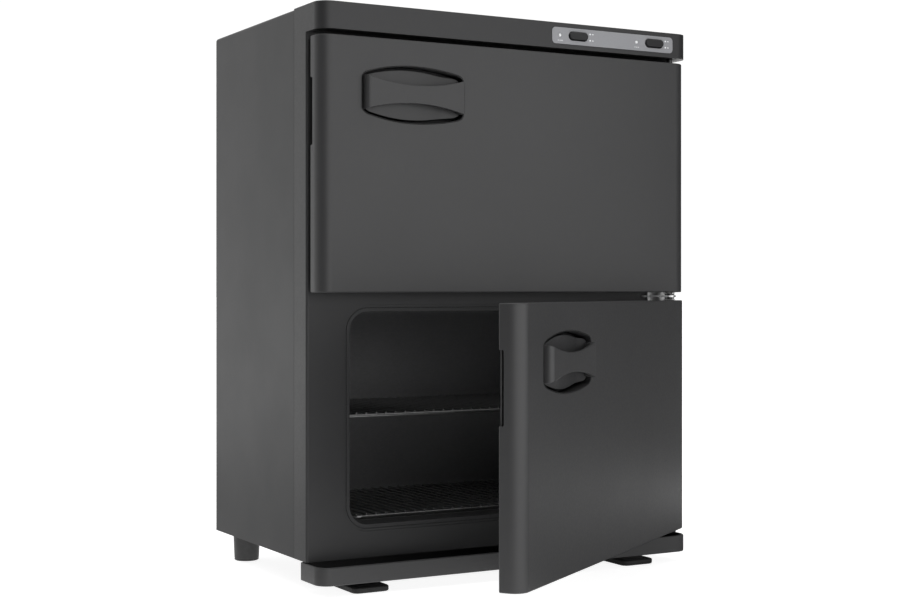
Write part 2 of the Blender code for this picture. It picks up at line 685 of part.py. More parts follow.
def hourglass_outline():
    """The bar's outline: waisted in the middle."""
    waist = BAR_END_HALF_H - BAR_MID_HALF_H
    half_w = HANDLE_HALF_W - BAR_INSET
    radius = (half_w ** 2 + waist ** 2) / (2 * waist)
    spread = math.degrees(math.asin(half_w / radius))
    top = arc((0, BAR_MID_HALF_H + radius), radius, 270 + spread, 270 - spread, 10)
    return top + [(across, -up) for across, up in reversed(top)]


def make_handle(label, hinge, spot):
    """A shallow cup let into the door with a waisted bar bridging it; fingers go in above and below the bar."""
    place = Matrix.Translation(spot)
    rim = 2.2 * MM
    beyond = 10 * MM
    cup = outline_prism(label + "_handle", handle_outline(-GAP), 0, CUP_DEPTH, CHARCOAL_PLASTIC, hinge)
    scoop = outline_prism(label + "_scoop", handle_outline(-rim), -beyond, beyond, parent=hinge)
    shallow, deep = 3.5 * MM, 12.5 * MM
    for vertex in scoop.data.vertices:
        if vertex.co.y > 0:
            along = (vertex.co.x + HANDLE_HALF_W) / (2 * HANDLE_HALF_W)
            vertex.co.y = shallow + (deep - shallow) * along

    left, right = -HANDLE_HALF_W + BAR_INSET, HANDLE_HALF_W - BAR_INSET
    leg = 6 * MM
    left_foot, right_foot = shallow + 2.5 * MM, deep + 0.5 * MM    # the legs end inside the cup's floor
    bridge_plan = [(left, left_foot), (left, -BAR_PROUD_LEFT), (right, -BAR_PROUD_RIGHT), (right, right_foot),
                   (right - leg, right_foot), (right - leg, -BAR_PROUD_RIGHT + BAR_THICKNESS),
                   (left + leg, -BAR_PROUD_LEFT + BAR_THICKNESS), (left + leg, left_foot)]
    bridge = outline_prism(label + "_bridge", bridge_plan, -HANDLE_MID_HALF_H, HANDLE_MID_HALF_H, parent=hinge,
                           facing="Z")
    waist = outline_prism(label + "_waist", hourglass_outline(), -2 * beyond, 2 * beyond, parent=hinge)
    boolean(bridge, waist, "INTERSECT")
    for piece in (cup, scoop, bridge, waist):
        piece.data.transform(place)
    cut(cup, scoop)
    join(cup, bridge)
    return smooth(cup)


def make_bush(name, hinge, level, up):
    """A flanged nylon bush: its sleeve runs into the door, its flange stays outside."""
    sleeve, flange, bore = 4.7 * MM, 6.5 * MM, PIN_RADIUS + 0.4 * MM
    inner, outer, lip = PIN_REACH, BUSH_FLANGE, GAP
    profile = [(bore, inner), (sleeve, inner), (sleeve, -lip), (flange, -lip), (flange, -outer), (bore, -outer)]
    if not up:
        profile = [(radius, -height) for radius, height in reversed(profile)]
    turned(name, profile, WHITE_NYLON, hinge, (0, 0, level), steps=16)


def seal_block(name, hinge, grow, front, back, finish=None):
    """A block over the chamber's opening, grown on all sides, in the closed door's frame."""
    low = OPENING_BOTTOM - DOOR_BOTTOM
    return block(name, (-OPENING_HALF_W - grow - HINGE_X, front, low - grow),
                 (OPENING_HALF_W + grow - HINGE_X, back, low + OPENING_HEIGHT + grow), finish, hinge,
                 radius=OPENING_RADIUS + grow, along="Y")


def make_door(label, hinge):
    """A door: moulded shell, inner panel, foam, gasket, magnet, handle and two bushes. Its frame is the hinge."""
    def front_edges(across, depth):
        return depth < 0

    left, right = DOOR_LEFT - HINGE_X, DOOR_RIGHT - HINGE_X
    front, back = -HINGE_DEPTH, DOOR_DEPTH - HINGE_DEPTH
    wall = PLASTIC_WALL
    shell = block(label + "_shell", (left, front, 0), (right, back, DOOR_HEIGHT), CHARCOAL_PLASTIC, hinge,
                  radius=PLAN_RADIUS, along="Z", sides=front_edges)
    soften(shell, 0.8 * MM)
    hollow = block(label + "_shell_hollow", (left + wall, front + wall, wall),
                   (right - wall, back + wall, DOOR_HEIGHT - wall), parent=hinge, radius=PLAN_RADIUS - wall,
                   along="Z", sides=front_edges)
    cut(shell, hollow)
    for end, (low, high) in {"lower": (0, 9 * MM), "upper": (DOOR_HEIGHT - 9 * MM, DOOR_HEIGHT)}.items():
        inset = GAP
        boss = cylinder("%s_%s_boss" % (label, end), 6.1 * MM, (0, 0, max(low, inset)),
                        (0, 0, min(high, DOOR_HEIGHT - inset)), parent=hinge, sides=16)
        bore = cylinder("%s_%s_bore" % (label, end), 5 * MM, (0, 0, low - wall), (0, 0, high + wall),
                        parent=hinge, sides=16)
        join(shell, boss)
        cut(shell, bore)
    spot = Vector((HANDLE_X - HINGE_X, front, HANDLE_RISE))
    window = outline_prism(label + "_window", handle_outline(), -5 * MM, 5 * MM, parent=hinge)
    window.data.transform(Matrix.Translation(spot))
    notch = block(label + "_notch", (left - wall, back - 5 * MM, DOOR_HEIGHT - 108 * MM),
                  (left + 2 * wall, back + wall, DOOR_HEIGHT - 41 * MM), parent=hinge)
    cut(shell, window, notch)
    smooth(shell)

    inset = wall + GAP
    panel_front = back - 2 * MM
    panel_back = panel_front + INNER_PANEL
    block(label + "_inner_panel", (left + inset, panel_front, inset), (right - inset, panel_back,
          DOOR_HEIGHT - inset), CHARCOAL_PLASTIC, hinge)

    core = block(label + "_foam", (left + 22 * MM, front + inset, inset), (-11 * MM, panel_front - GAP,
                 DOOR_HEIGHT - inset), WHITE_FOAM, hinge)
    pocket = outline_prism(label + "_foam_pocket", handle_outline(1 * MM), -10 * MM, CUP_DEPTH + GAP, parent=hinge)
    pocket.data.transform(Matrix.Translation(spot))
    cut(core, pocket)

    block(label + "_magnet", (left + 8 * MM, panel_front - 6 * MM, DOOR_HEIGHT - 105 * MM),
          (left + 18 * MM, panel_front - GAP, DOOR_HEIGHT - 45 * MM), BRIGHT_STEEL, hinge)

    seal_front = panel_back + GAP
    seal_back = BEZEL_FACE + LAND_DEPTH - HINGE_DEPTH - GAP
    gasket = seal_block(label + "_gasket", hinge, SEAL_OUTER, seal_front, seal_back, BLACK_RUBBER)
    hollow = seal_block(label + "_gasket_hollow", hinge, SEAL_INNER, seal_front - MM, seal_back + MM)
    smooth(cut(gasket, hollow))

    make_handle(label, hinge, spot)
    make_bush(label + "_lower_bush", hinge, 0, True)
    make_bush(label + "_upper_bush", hinge, DOOR_HEIGHT, False)


def make_doors():
    for storey, label in enumerate(("lower_door", "upper_door")):
        hinge = empty(label + "_hinge", (HINGE_X, HINGE_DEPTH, DOOR_BOTTOM + storey * STOREY), CABINET)
        make_door(label, hinge)
        if label == "lower_door":
            hinge.rotation_euler.z = LOWER_DOOR_OPEN


# ---------------------------------------------------------------- drip tray and its guides
def make_drip_tray():
    """Front trough that catches condensate; two tongues slide in guides under the base."""
    def front_edges(across, depth):
        return depth < 0

    slider = empty("tray_slide", (0, 0, TRAY_BOTTOM), CABINET)
    high = TRAY_TOP - TRAY_BOTTOM
    tray = block("drip_tray", (-HALF_W, 0, 0), (HALF_W, TRAY_BACK, high), CHARCOAL_PLASTIC, slider,
                 radius=PLAN_RADIUS, along="Z", sides=front_edges)
    soften(tray, 0.8 * MM)
    trough = block("tray_trough", (-HALF_W + TRAY_WALL, TRAY_WALL, TRAY_WALL),
                   (HALF_W - TRAY_WALL, TRAY_BACK - TRAY_WALL, high + TRAY_WALL), parent=slider,
                   radius=PLAN_RADIUS - TRAY_WALL, along="Z", sides=front_edges)
    cut(tray, trough)
    for side, label in ((-1, "left"), (1, "right")):
        centre = side * TONGUE_X
        tongue = block(label + "_tongue", (centre - TONGUE_HALF_W, TRAY_BACK - TRAY_WALL / 2,
                                           TONGUE_BOTTOM - TRAY_BOTTOM),
                       (centre + TONGUE_HALF_W, TONGUE_BACK, TONGUE_TOP - TRAY_BOTTOM), parent=slider)
        join(tray, tongue)
        clear, metal = 0.6 * MM, 1.5 * MM
        guide = block(label + "_tray_guide",
                      (centre - TONGUE_HALF_W - clear - metal, 66 * MM, TONGUE_BOTTOM - clear - metal),
                      (centre + TONGUE_HALF_W + clear + metal, 130 * MM, BODY_BOTTOM - GAP), CHARCOAL_STEEL)
        channel = block(label + "_guide_channel",
                        (centre - TONGUE_HALF_W - clear, 60 * MM, TONGUE_BOTTOM - clear),
                        (centre + TONGUE_HALF_W + clear, 128 * MM, BODY_BOTTOM - GAP - metal))
        cut(guide, channel)
    return smooth(tray)


# ---------------------------------------------------------------- control panel and electrics
def make_controls():
    """Grey control plate, two rocker switches in housings, two indicator lamps."""
    plate = outline_prism("control_plate", rounded_rectangle((PLATE_LEFT, PLATE_BOTTOM), (PLATE_RIGHT, PLATE_TOP),
                                                             PLATE_RADIUS), -PLATE_PROUD, PLATE_SEAT - GAP,
                          PANEL_GREY)
    for side in ("left", "right"):
        spot = (ROCKER_X[side], CONTROL_Z)
        hole = outline_prism(side + "_plate_rocker_hole", stadium(spot, ROCKER_HALF_W + 0.6 * MM,
                                                                  ROCKER_HALF_H + 0.7 * MM), -2 * MM, 2 * MM)
        lamp_hole = cylinder(side + "_plate_lamp_hole", LAMP_RADIUS + GAP, (LAMP_X[side], -2 * MM, CONTROL_Z),
                             (LAMP_X[side], 2 * MM, CONTROL_Z), sides=12)
        cut(plate, hole, lamp_hole)

        wall = PLASTIC_WALL + GAP
        housing = block(side + "_switch_housing", (spot[0] - 15 * MM, wall, CONTROL_Z - 7 * MM),
                        (spot[0] + 15 * MM, 24 * MM, CONTROL_Z + 7 * MM), BLACK_PLASTIC)
        well = block(side + "_switch_well", (spot[0] - 13 * MM, 0, CONTROL_Z - 5.6 * MM),
                     (spot[0] + 13 * MM, 10 * MM, CONTROL_Z + 5.6 * MM))
        cut(housing, well)

        pivot = empty(side + "_rocker_axis", (spot[0], ROCKER_AXIS_DEPTH, CONTROL_Z), CABINET)
        rocker = outline_prism(side + "_rocker", stadium((0, 0), ROCKER_HALF_W, ROCKER_HALF_H),
                               -ROCKER_PROUD - ROCKER_AXIS_DEPTH, 4.5 * MM, BLACK_PLASTIC, pivot)
        soften(rocker, 0.6 * MM)
        smooth(rocker)
        pivot.rotation_euler.x = -ROCKER_TILT

        lens = [(0, 0), (LAMP_RADIUS, 0), (LAMP_RADIUS, -9 * MM), (0, -9 * MM)]
        turned(side + "_indicator_lamp", lens, LAMP_LENS, CABINET, (LAMP_X[side], -0.5 * MM, CONTROL_Z), steps=12,
               rotation=(math.pi / 2, 0, 0))


def make_electrics():
    """Terminal block over the upper insulation and the power inlet in the back panel."""
    floor = OPENING_BOTTOM + STOREY + OPENING_HEIGHT + FOAM_JACKET + GAP
    half_w, half_depth, height, depth = 20 * MM, 9 * MM, 10 * MM, 129 * MM
    terminals = block("terminal_block", (-half_w, depth - half_depth, floor),
                      (half_w, depth + half_depth, floor + height), WHITE_NYLON)
    for index in range(3):
        across = (index - 1) * 12 * MM
        post = cylinder("terminal_post_%d" % (index + 1), 4 * MM, (across, depth, floor + height - 2 * MM),
                        (across, depth, floor + height + 4 * MM), sides=12)
        join(terminals, post)

    centre_x, centre_z = INLET_X, REAR_FITTINGS_Z
    wall = 2 * MM
    inlet_front = 264 * MM
    socket_floor = inlet_front + 3 * MM
    inlet = block("power_inlet", (centre_x - INLET_HALF_W, inlet_front, centre_z - INLET_HALF_H),
                  (centre_x + INLET_HALF_W, BODY_BACK + 1 * MM, centre_z + INLET_HALF_H), BLACK_PLASTIC)
    flange = block("inlet_flange", (centre_x - INLET_HALF_W - 6 * MM, BODY_BACK + GAP, centre_z - 12 * MM),
                   (centre_x + INLET_HALF_W + 6 * MM, SCREW_DEPTH, centre_z + 12 * MM), radius=4 * MM, along="Y",
                   segments=3)
    socket = block("inlet_socket", (centre_x - INLET_HALF_W + wall, socket_floor, centre_z - INLET_HALF_H + wall),
                   (centre_x + INLET_HALF_W - wall, SCREW_DEPTH + 5 * MM, centre_z + INLET_HALF_H - wall))
    join(inlet, flange)
    cut(inlet, socket)
    for index, (across, up) in enumerate(((-7, 2), (0, -2), (7, 2))):
        blade = block("inlet_blade_%d" % (index + 1),
                      (centre_x + (across - 1) * MM, socket_floor - 1 * MM, centre_z + (up - 2) * MM),
                      (centre_x + (across + 1) * MM, socket_floor + 9 * MM, centre_z + (up + 2) * MM))
        join(inlet, blade)


# ---------------------------------------------------------------- feet
def make_feet():
    """Two long flat feet in front, two round feet at the rear."""
    top = BODY_BOTTOM - GAP
    for side, label in ((-1, "left"), (1, "right")):
        low_x, high_x = sorted((side * TOE_OUTER, side * TOE_INNER))
        foot = block("front_%s_foot" % label, (low_x, TOE_FRONT, 0), (high_x, TOE_BACK, TOE_HEIGHT), BLACK_RUBBER,
                     radius=7 * MM, along="Z", segments=3)
        soften(foot, 0.8 * MM)
        neck = block("front_%s_neck" % label, (low_x + NECK_INSET, NECK_FRONT, TOE_HEIGHT / 2),
                     (high_x - NECK_INSET, NECK_BACK, top), radius=NECK_INSET, along="Z", segments=2)
        smooth(join(foot, neck))

        radius, low_edge = REAR_FOOT_RADIUS, 1.5 * MM
        profile = [(0, top), (radius, top), (radius, top - 2 * low_edge), (radius - low_edge, low_edge),
                   (radius - 2 * low_edge, 0), (0, 0)]
        turned("rear_%s_foot" % label, profile, BLACK_RUBBER, CABINET, (side * REAR_FOOT_X, REAR_FOOT_DEPTH, 0),
               steps=20)


def build():
    make_wrap()
    make_back_panel()
    make_back_screws()
    make_base_pan()
    make_front_bezel()
    for storey, label in enumerate(("lower", "upper")):
        make_chamber(storey, label)
    make_racks()
    make_hinges()
    make_doors()
    make_drip_tray()
    make_controls()
    make_electrics()
    make_feet()
    bpy.context.view_layer.update()


build()
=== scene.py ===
"""Looks of a two-door hot towel cabinet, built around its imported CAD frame.

Units are metres in the row frame: +Z is up, the doors face -Y and the cabinet stands on z = 0. Pieces of
the lower door are modelled on the closed upper door, then moved down one storey and swung about the hinge.
"""
import json
from math import cos, pi, radians, sin, sqrt

import bmesh
import bpy
from mathutils import Matrix, Vector


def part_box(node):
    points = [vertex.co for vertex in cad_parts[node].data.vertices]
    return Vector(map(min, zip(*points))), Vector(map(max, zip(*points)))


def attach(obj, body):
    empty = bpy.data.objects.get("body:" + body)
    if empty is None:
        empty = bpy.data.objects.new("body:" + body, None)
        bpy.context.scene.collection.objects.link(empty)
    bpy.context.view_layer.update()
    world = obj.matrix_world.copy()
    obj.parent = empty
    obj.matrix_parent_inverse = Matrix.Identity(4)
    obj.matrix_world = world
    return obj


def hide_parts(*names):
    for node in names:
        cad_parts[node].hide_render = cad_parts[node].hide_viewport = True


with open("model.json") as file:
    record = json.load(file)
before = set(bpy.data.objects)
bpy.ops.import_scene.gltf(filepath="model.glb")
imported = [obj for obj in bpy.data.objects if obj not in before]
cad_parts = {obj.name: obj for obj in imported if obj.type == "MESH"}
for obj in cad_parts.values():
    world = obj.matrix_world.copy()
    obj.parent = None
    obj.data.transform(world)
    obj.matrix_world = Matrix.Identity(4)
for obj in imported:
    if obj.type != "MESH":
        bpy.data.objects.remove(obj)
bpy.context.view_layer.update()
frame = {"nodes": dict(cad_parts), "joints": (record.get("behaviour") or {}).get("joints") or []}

MM = 0.001
GAP = 0.3 * MM
NODES = frame["nodes"]
JOINTS = {joint["name"]: joint for joint in frame["joints"]}

# ---- measures read from the frame
BEZEL_LOW, BEZEL_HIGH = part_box("front_bezel")
DOOR_LOW, DOOR_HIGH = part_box("upper_door_shell")
FACE = BEZEL_LOW.y                                        # the closed doors' front face
FRAME_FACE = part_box("middle_hinge_bracket")[1].y + GAP    # the bezel's face behind the doors
STOREY = DOOR_LOW.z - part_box("lower_door_shell")[0].z
HINGE = Vector(JOINTS["upper_door_hinge"]["pos_m"])
DOOR_OPEN = -radians(JOINTS["lower_door_hinge"]["range_deg"][0])
LINER_FLANGE = 9 * MM                                     # width of a liner's flange round its mouth
LINER_LOW, LINER_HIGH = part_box("upper_chamber_liner")
MOUTH_LOW = (LINER_LOW.x + LINER_FLANGE, LINER_LOW.z + LINER_FLANGE)
MOUTH_HIGH = (LINER_HIGH.x - LINER_FLANGE, LINER_HIGH.z - LINER_FLANGE)
WALL = 2.5 * MM                                           # moulded plastic
SHEET = 1.2 * MM                                          # folded steel
LID_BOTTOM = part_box("top_hinge_bracket")[0].z - WALL - GAP
PLAN_RADIUS = 14.5 * MM
MOUTH_RADIUS = 20 * MM
PIN_RADIUS = 2.9 * MM
PLATE_RADIUS = 4.5 * MM
SOFT_RIM = 1.3 * MM                                       # soft edges of the doors and the tray
SCREW_HOLE = 2 * MM
ARC_STEPS = 14
RIM_ANGLE, EDGE_ANGLE = 40, 38                            # degrees; sharper turns are rounded
SMOOTH_ANGLE, FLAT_ANGLE = 50, 0.3                        # degrees; shaded smooth below, made flat below
MERGE_DISTANCE = 0.002 * MM

TO_LOWER_DOOR = (Matrix.Translation((HINGE.x, HINGE.y, 0)) @ Matrix.Rotation(DOOR_OPEN, 4, "Z")
                 @ Matrix.Translation((-HINGE.x, -HINGE.y, -STOREY)))
STAY = Matrix.Identity(4)
DOORS = {"upper_door": STAY, "lower_door": TO_LOWER_DOOR}
FLOORS = {"upper": STAY, "lower": Matrix.Translation((0, 0, -STOREY))}


# ---------------------------------------------------------------- modelling helpers
def new_object(name, mesh):
    made = bpy.data.objects.new(name, mesh)
    bpy.context.scene.collection.objects.link(made)
    return made


def from_bmesh(name, shape, turn_out=True):
    """Make a bmesh an object, by default with its faces turned to point out."""
    if turn_out:
        bmesh.ops.recalc_face_normals(shape, faces=shape.faces)
    mesh = bpy.data.meshes.new(name)
    shape.to_mesh(mesh)
    shape.free()
    return new_object(name, mesh)


def round_edges(shape, edges, width, segments, clamp=True):
    bmesh.ops.bevel(shape, geom=edges, offset=width, offset_type="OFFSET", segments=segments, profile=0.5,
                    affect="EDGES", clamp_overlap=clamp)


def sharp_edges(shape, angle):
    return [edge for edge in shape.edges if edge.calc_face_angle(0) > radians(angle)]


def front_edges(across, depth):
    return depth < 0


def upper_edges(across, up):
    return up > 0


def block(name, low, high, radius=0.0, along="Z", sides=None, segments=ARC_STEPS, rim=0.0, rim_segments=3):
    """A box. Its edges along one axis are rounded by a radius, and then every sharp edge by a small rim.

    sides is a test on an edge's two other coordinates from the middle, in X, Y, Z order.
    """
    low, high = Vector(low), Vector(high)
    middle = (low + high) / 2
    size = Matrix.Diagonal((*(high - low), 1))
    shape = bmesh.new()
    bmesh.ops.create_cube(shape, size=1, matrix=Matrix.Translation(middle) @ size)
    if radius:
        axis = "XYZ".index(along)
        others = [index for index in range(3) if index != axis]
        edges = []
        for edge in shape.edges:
            span = edge.verts[1].co - edge.verts[0].co
            centre = (edge.verts[0].co + edge.verts[1].co) / 2 - middle
            if abs(span[axis]) > 1e-9 and (sides is None or sides(*(centre[other] for other in others))):
                edges.append(edge)
        round_edges(shape, edges, radius, segments, clamp=False)
    if rim:
        round_edges(shape, sharp_edges(shape, RIM_ANGLE), rim, rim_segments)
    return from_bmesh(name, shape)


def arc(centre, radius, start, end, steps=ARC_STEPS):
    """Points of an arc, angles in degrees."""
    angles = [radians(start + (end - start) * step / steps) for step in range(steps + 1)]
    return [(centre[0] + radius * cos(angle), centre[1] + radius * sin(angle)) for angle in angles]


def circle(steps):
    """Points of a unit circle."""
    angles = [2 * pi * step / steps for step in range(steps)]
    return [(cos(angle), sin(angle)) for angle in angles]


def rounded_rectangle(low, high, radius, steps=ARC_STEPS):
    (left, bottom), (right, top) = low, high
    return (arc((right - radius, bottom + radius), radius, -90, 0, steps)
            + arc((right - radius, top - radius), radius, 0, 90, steps)
            + arc((left + radius, top - radius), radius, 90, 180, steps)
            + arc((left + radius, bottom + radius), radius, 180, 270, steps))


def mouth(grow, shift=0.0):
    """The upper chamber opening's outline, grown on all sides and shifted up."""
    points = rounded_rectangle((MOUTH_LOW[0] - grow, MOUTH_LOW[1] - grow),
                               (MOUTH_HIGH[0] + grow, MOUTH_HIGH[1] + grow), MOUTH_RADIUS + grow)
    return [(across, up + shift) for across, up in points]


def stadium(centre, half_w, half_h, steps=12):
    """A slot's outline, with round ends."""
    across, up = centre
    straight = half_w - half_h
    return (arc((across + straight, up), half_h, -90, 90, steps)
            + arc((across - straight, up), half_h, 90, 270, steps))


def disc(centre, radius):
    """A round outline, as a slot that is hardly wider than it is high."""
    return stadium(centre, radius + 0.01 * MM, radius)


def upright(points, depth):
    """(x, z) points stood up at one depth."""
    return [(across, depth, up) for across, up in points]


def loft(name, rings, closed=False):
    """Skin rings of equally many points, with capped ends, or closed from the last ring to the first."""
    shape = bmesh.new()
    rows = [[shape.verts.new(point) for point in ring] for ring in rings]
    count = len(rows[0])
    pairs = list(zip(rows, rows[1:] + rows[:1])) if closed else list(zip(rows, rows[1:]))
    for first, second in pairs:
        for index in range(count):
            after = (index + 1) % count
            shape.faces.new((first[index], first[after], second[after], second[index]))
    if not closed:
        shape.faces.new(rows[0])
        shape.faces.new(rows[-1])
    return from_bmesh(name, shape)


def prism(name, points, front, back, rim=0.0):
    """An upright outline between two depths, with an optional rounded front edge."""
    if not rim:
        return loft(name, [upright(points, front), upright(points, back)])
    centre = sum((Vector(point) for point in points), Vector((0, 0))) / len(points)
    rings = []
    for step in range(4):
        angle = radians(30 * step)
        inset, depth = rim * (1 - sin(angle)), front + rim * (1 - cos(angle))
        ring = []
        for across, up in points:
            away = Vector((across, up)) - centre
            size = Vector((abs(away.x), abs(away.y)))
            shrink = Vector((1 - inset / size.x if size.x > 2 * inset else 1,
                             1 - inset / size.y if size.y > 2 * inset else 1))
            ring.append((centre.x + away.x * shrink.x, depth, centre.y + away.y * shrink.y))
        rings.append(ring)
    return loft(name, rings + [upright(points, back)])


def turned(name, profile, place, steps=32):
    """A profile of (radius, height) points turned about the Z axis of a matrix."""
    shape = bmesh.new()
    rings = []
    for radius, height in profile:
        if radius < 1e-7:
            rings.append([shape.verts.new((0, 0, height))])
        else:
            rings.append([shape.verts.new((radius * x, radius * y, height)) for x, y in circle(steps)])
    pairs = list(zip(rings, rings[1:]))
    if profile[0][0] > 0 and profile[-1][0] > 0:
        pairs.append((rings[-1], rings[0]))
    for first, second in pairs:
        for index in range(steps):
            after = (index + 1) % steps
            corners = ([first[0]] if len(first) == 1 else [first[index], first[after]])
            corners += ([second[0]] if len(second) == 1 else [second[after], second[index]])
            if len(corners) > 2:
                shape.faces.new(corners)
    bmesh.ops.transform(shape, matrix=place, verts=shape.verts)
    return from_bmesh(name, shape)


def carve(target, cutters, operation="DIFFERENCE"):
    """Cut cutters out of a target, or join them to it, and bake the result."""
    for cutter in cutters:
        step = target.modifiers.new("step", "BOOLEAN")
        step.operation = operation
        step.solver = "EXACT"
        step.object = cutter
    bake(target)
    for cutter in cutters:
        bpy.data.objects.remove(cutter, do_unlink=True)
    return target


def bake(target):
    """Turn an object's modifiers into plain mesh."""
    graph = bpy.context.evaluated_depsgraph_get()
    bpy.context.view_layer.update()
    mesh = bpy.data.meshes.new_from_object(target.evaluated_get(graph), depsgraph=graph)
    target.modifiers.clear()
    target.data = mesh
    return target


def merged(name, parts):
    """One object from several closed bodies."""
    shape = bmesh.new()
    for part in parts:
        shape.from_mesh(part.data)
        bpy.data.objects.remove(part, do_unlink=True)
    return from_bmesh(name, shape, turn_out=False)


def finish(piece, body, finish_name, nodes=(), place=STAY, edge=0.0, edge_segments=2):
    """Round the edges, shade and paint a piece, and hang it on its body in place of its CAD nodes."""
    mesh = piece.data
    shape = bmesh.new()
    shape.from_mesh(mesh)
    bmesh.ops.remove_doubles(shape, verts=shape.verts, dist=MERGE_DISTANCE)
    bmesh.ops.dissolve_limit(shape, angle_limit=radians(FLAT_ANGLE), verts=shape.verts, edges=shape.edges)
    if edge:
        round_edges(shape, sharp_edges(shape, EDGE_ANGLE), edge, edge_segments)
    bmesh.ops.transform(shape, matrix=place, verts=shape.verts)
    shape.to_mesh(mesh)
    shape.free()
    mesh.shade_smooth()
    mesh.set_sharp_from_angle(angle=radians(SMOOTH_ANGLE))
    weighted = piece.modifiers.new("weighted_normals", "WEIGHTED_NORMAL")
    weighted.keep_sharp = True
    mesh.materials.clear()
    mesh.materials.append(FINISHES[finish_name])
    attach(piece, body)
    if nodes:
        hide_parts(*nodes)
    return piece


def refined(node, body, finish_name, edge=0.3 * MM, segments=2):
    """A copy of a CAD node whose shape is right, with its edges rounded."""
    piece = new_object(node + "_look", NODES[node].data.copy())
    return finish(piece, body, finish_name, [node], edge=edge, edge_segments=segments)


# ---------------------------------------------------------------- materials
def fill(tree, node, inputs):
    """Give each of a node's inputs a plain value, or link it to another node's output."""
    for key, value in inputs.items():
        if isinstance(value, bpy.types.NodeSocket):
            tree.links.new(value, node.inputs[key])
        else:
            node.inputs[key].default_value = value


def add_node(tree, kind, inputs=None, **settings):
    node = tree.nodes.new(kind)
    for key, value in settings.items():
        setattr(node, key, value)
    fill(tree, node, inputs or {})
    return node


def shade(color, share):
    """A colour made darker or lighter, and kept below white."""
    return tuple(min(1.0, channel * share) for channel in color)


class Nodes:
    """Short names for building one material's node tree."""

    def __init__(self, name):
        self.made = bpy.data.materials.new(name)
        self.made.use_nodes = True
        self.tree = self.made.node_tree
        self.where = self.add("ShaderNodeTexCoord").outputs["Object"]

    def add(self, kind, inputs=None, **settings):
        return add_node(self.tree, kind, inputs, **settings)

    def paint(self, inputs):
        """Set or link the shader's own sockets, and hand over the finished material."""
        fill(self.tree, self.tree.nodes["Principled BSDF"], inputs)
        return self.made

    def noise(self, scale, detail=3.0, roughness=0.55, stretch=None):
        """Noise on the object's own coordinates, which stretch can scale per axis."""
        source = self.where
        if stretch:
            source = self.add("ShaderNodeMapping", {"Vector": source, "Scale": stretch}).outputs["Vector"]
        return self.add("ShaderNodeTexNoise", {"Vector": source, "Scale": scale, "Detail": detail,
                                               "Roughness": roughness}).outputs["Fac"]

    def spread(self, value, low, high, start=0.35, end=0.65):
        """Map a value from start and end, by default a noise's middle range, to low and high."""
        return self.add("ShaderNodeMapRange", {"Value": value, "From Min": start, "From Max": end,
                                               "To Min": low, "To Max": high}).outputs["Result"]

    def blend(self, factor, first, second):
        """Mix two colours; either may be a colour or an output."""
        first, second = ((*value, 1) if isinstance(value, tuple) else value for value in (first, second))
        return self.add("ShaderNodeMix", {0: factor, 6: first, 7: second}, data_type="RGBA").outputs[2]

    def total(self, first, second):
        return self.add("ShaderNodeMath", {0: first, 1: second}, operation="ADD").outputs[0]

    def times(self, first, second):
        return self.add("ShaderNodeMath", {0: first, 1: second}, operation="MULTIPLY").outputs[0]

    def bump(self, height, depth, strength):
        return self.add("ShaderNodeBump", {"Height": height, "Distance": depth,
                                           "Strength": strength}).outputs["Normal"]

    def unshaded_share(self, reach):
        """1 in the open and 0 deep in a crevice, by ambient occlusion; it masks painted shade."""
        near = self.add("ShaderNodeAmbientOcclusion", {"Distance": reach}, samples=6)
        return self.spread(near.outputs["AO"], 0.0, 1.0, 0.12, 0.62)

    def edge_wear(self, radius):
        """1 on rounded edges and 0 on flats, from how far the bevelled normal leans from the real one."""
        bevel = self.add("ShaderNodeBevel", {"Radius": radius}, samples=4)
        normal = self.add("ShaderNodeNewGeometry").outputs["Normal"]
        lean = self.add("ShaderNodeVectorMath", {0: bevel.outputs["Normal"], 1: normal},
                        operation="DOT_PRODUCT")
        return self.spread(lean.outputs["Value"], 1.0, 0.0, 0.93, 0.995)


def moulded(name, color, roughness, grain=2600.0, grain_depth=0.00004, wear=0.10):
    """Spark-textured moulding: fine grain, faint flow clouding, polished edges, and crevices darkened with
    painted shade.
    """
    n = Nodes(name)
    worn = shade(color, 1.9)
    tone = n.blend(n.spread(n.noise(7.0, 4.0, 0.6), 0.0, 1.0), shade(color, 0.975), shade(color, 1.03))
    tone = n.blend(n.spread(n.noise(95.0, 3.0, 0.7), 0.0, 0.05, 0.5, 0.75), tone, worn)
    tone = n.blend(n.times(n.edge_wear(0.8 * MM), wear), tone, worn)
    # Painted shade: where ambient occlusion finds a crevice, slot or gap, the base colour goes nearly black
    # and the specular fades.
    unshaded_share = n.unshaded_share(10 * MM)
    rough = n.total(n.spread(n.noise(14.0, 4.0, 0.6), roughness - 0.015, roughness + 0.015),
                    n.spread(n.noise(420.0, 2.0), -0.02, 0.03))
    return n.paint({"Base Color": n.blend(unshaded_share, shade(color, 0.12), tone), "Roughness": rough,
                    "Specular IOR Level": n.times(unshaded_share, 0.40),
                    "Normal": n.bump(n.noise(grain, 2.0, 0.6), grain_depth, 0.6)})


def powder_coat(name, color, roughness):
    """Powder-coated sheet: orange peel, fine satin grain and a few faint scuffs."""
    n = Nodes(name)
    tone = n.blend(n.spread(n.noise(4.0, 3.0, 0.6), 0.0, 1.0), shade(color, 0.985), shade(color, 1.015))
    scuff = n.spread(n.noise(18.0, 5.0, 0.75, (1.0, 4.0, 9.0)), 0.0, 0.06, 0.64, 0.80)
    tone = n.blend(scuff, tone, shade(color, 1.8))
    tone = n.blend(n.times(n.edge_wear(0.6 * MM), 0.15), tone, shade(color, 2.2))
    peel = n.total(n.noise(420.0, 1.0, 0.4), n.times(n.noise(2400.0, 2.0), 0.35))
    return n.paint({"Base Color": tone, "Specular IOR Level": 0.32, "Normal": n.bump(peel, 0.00005, 0.45),
                    "Roughness": n.spread(n.noise(11.0, 4.0, 0.6), roughness - 0.02, roughness + 0.02)})


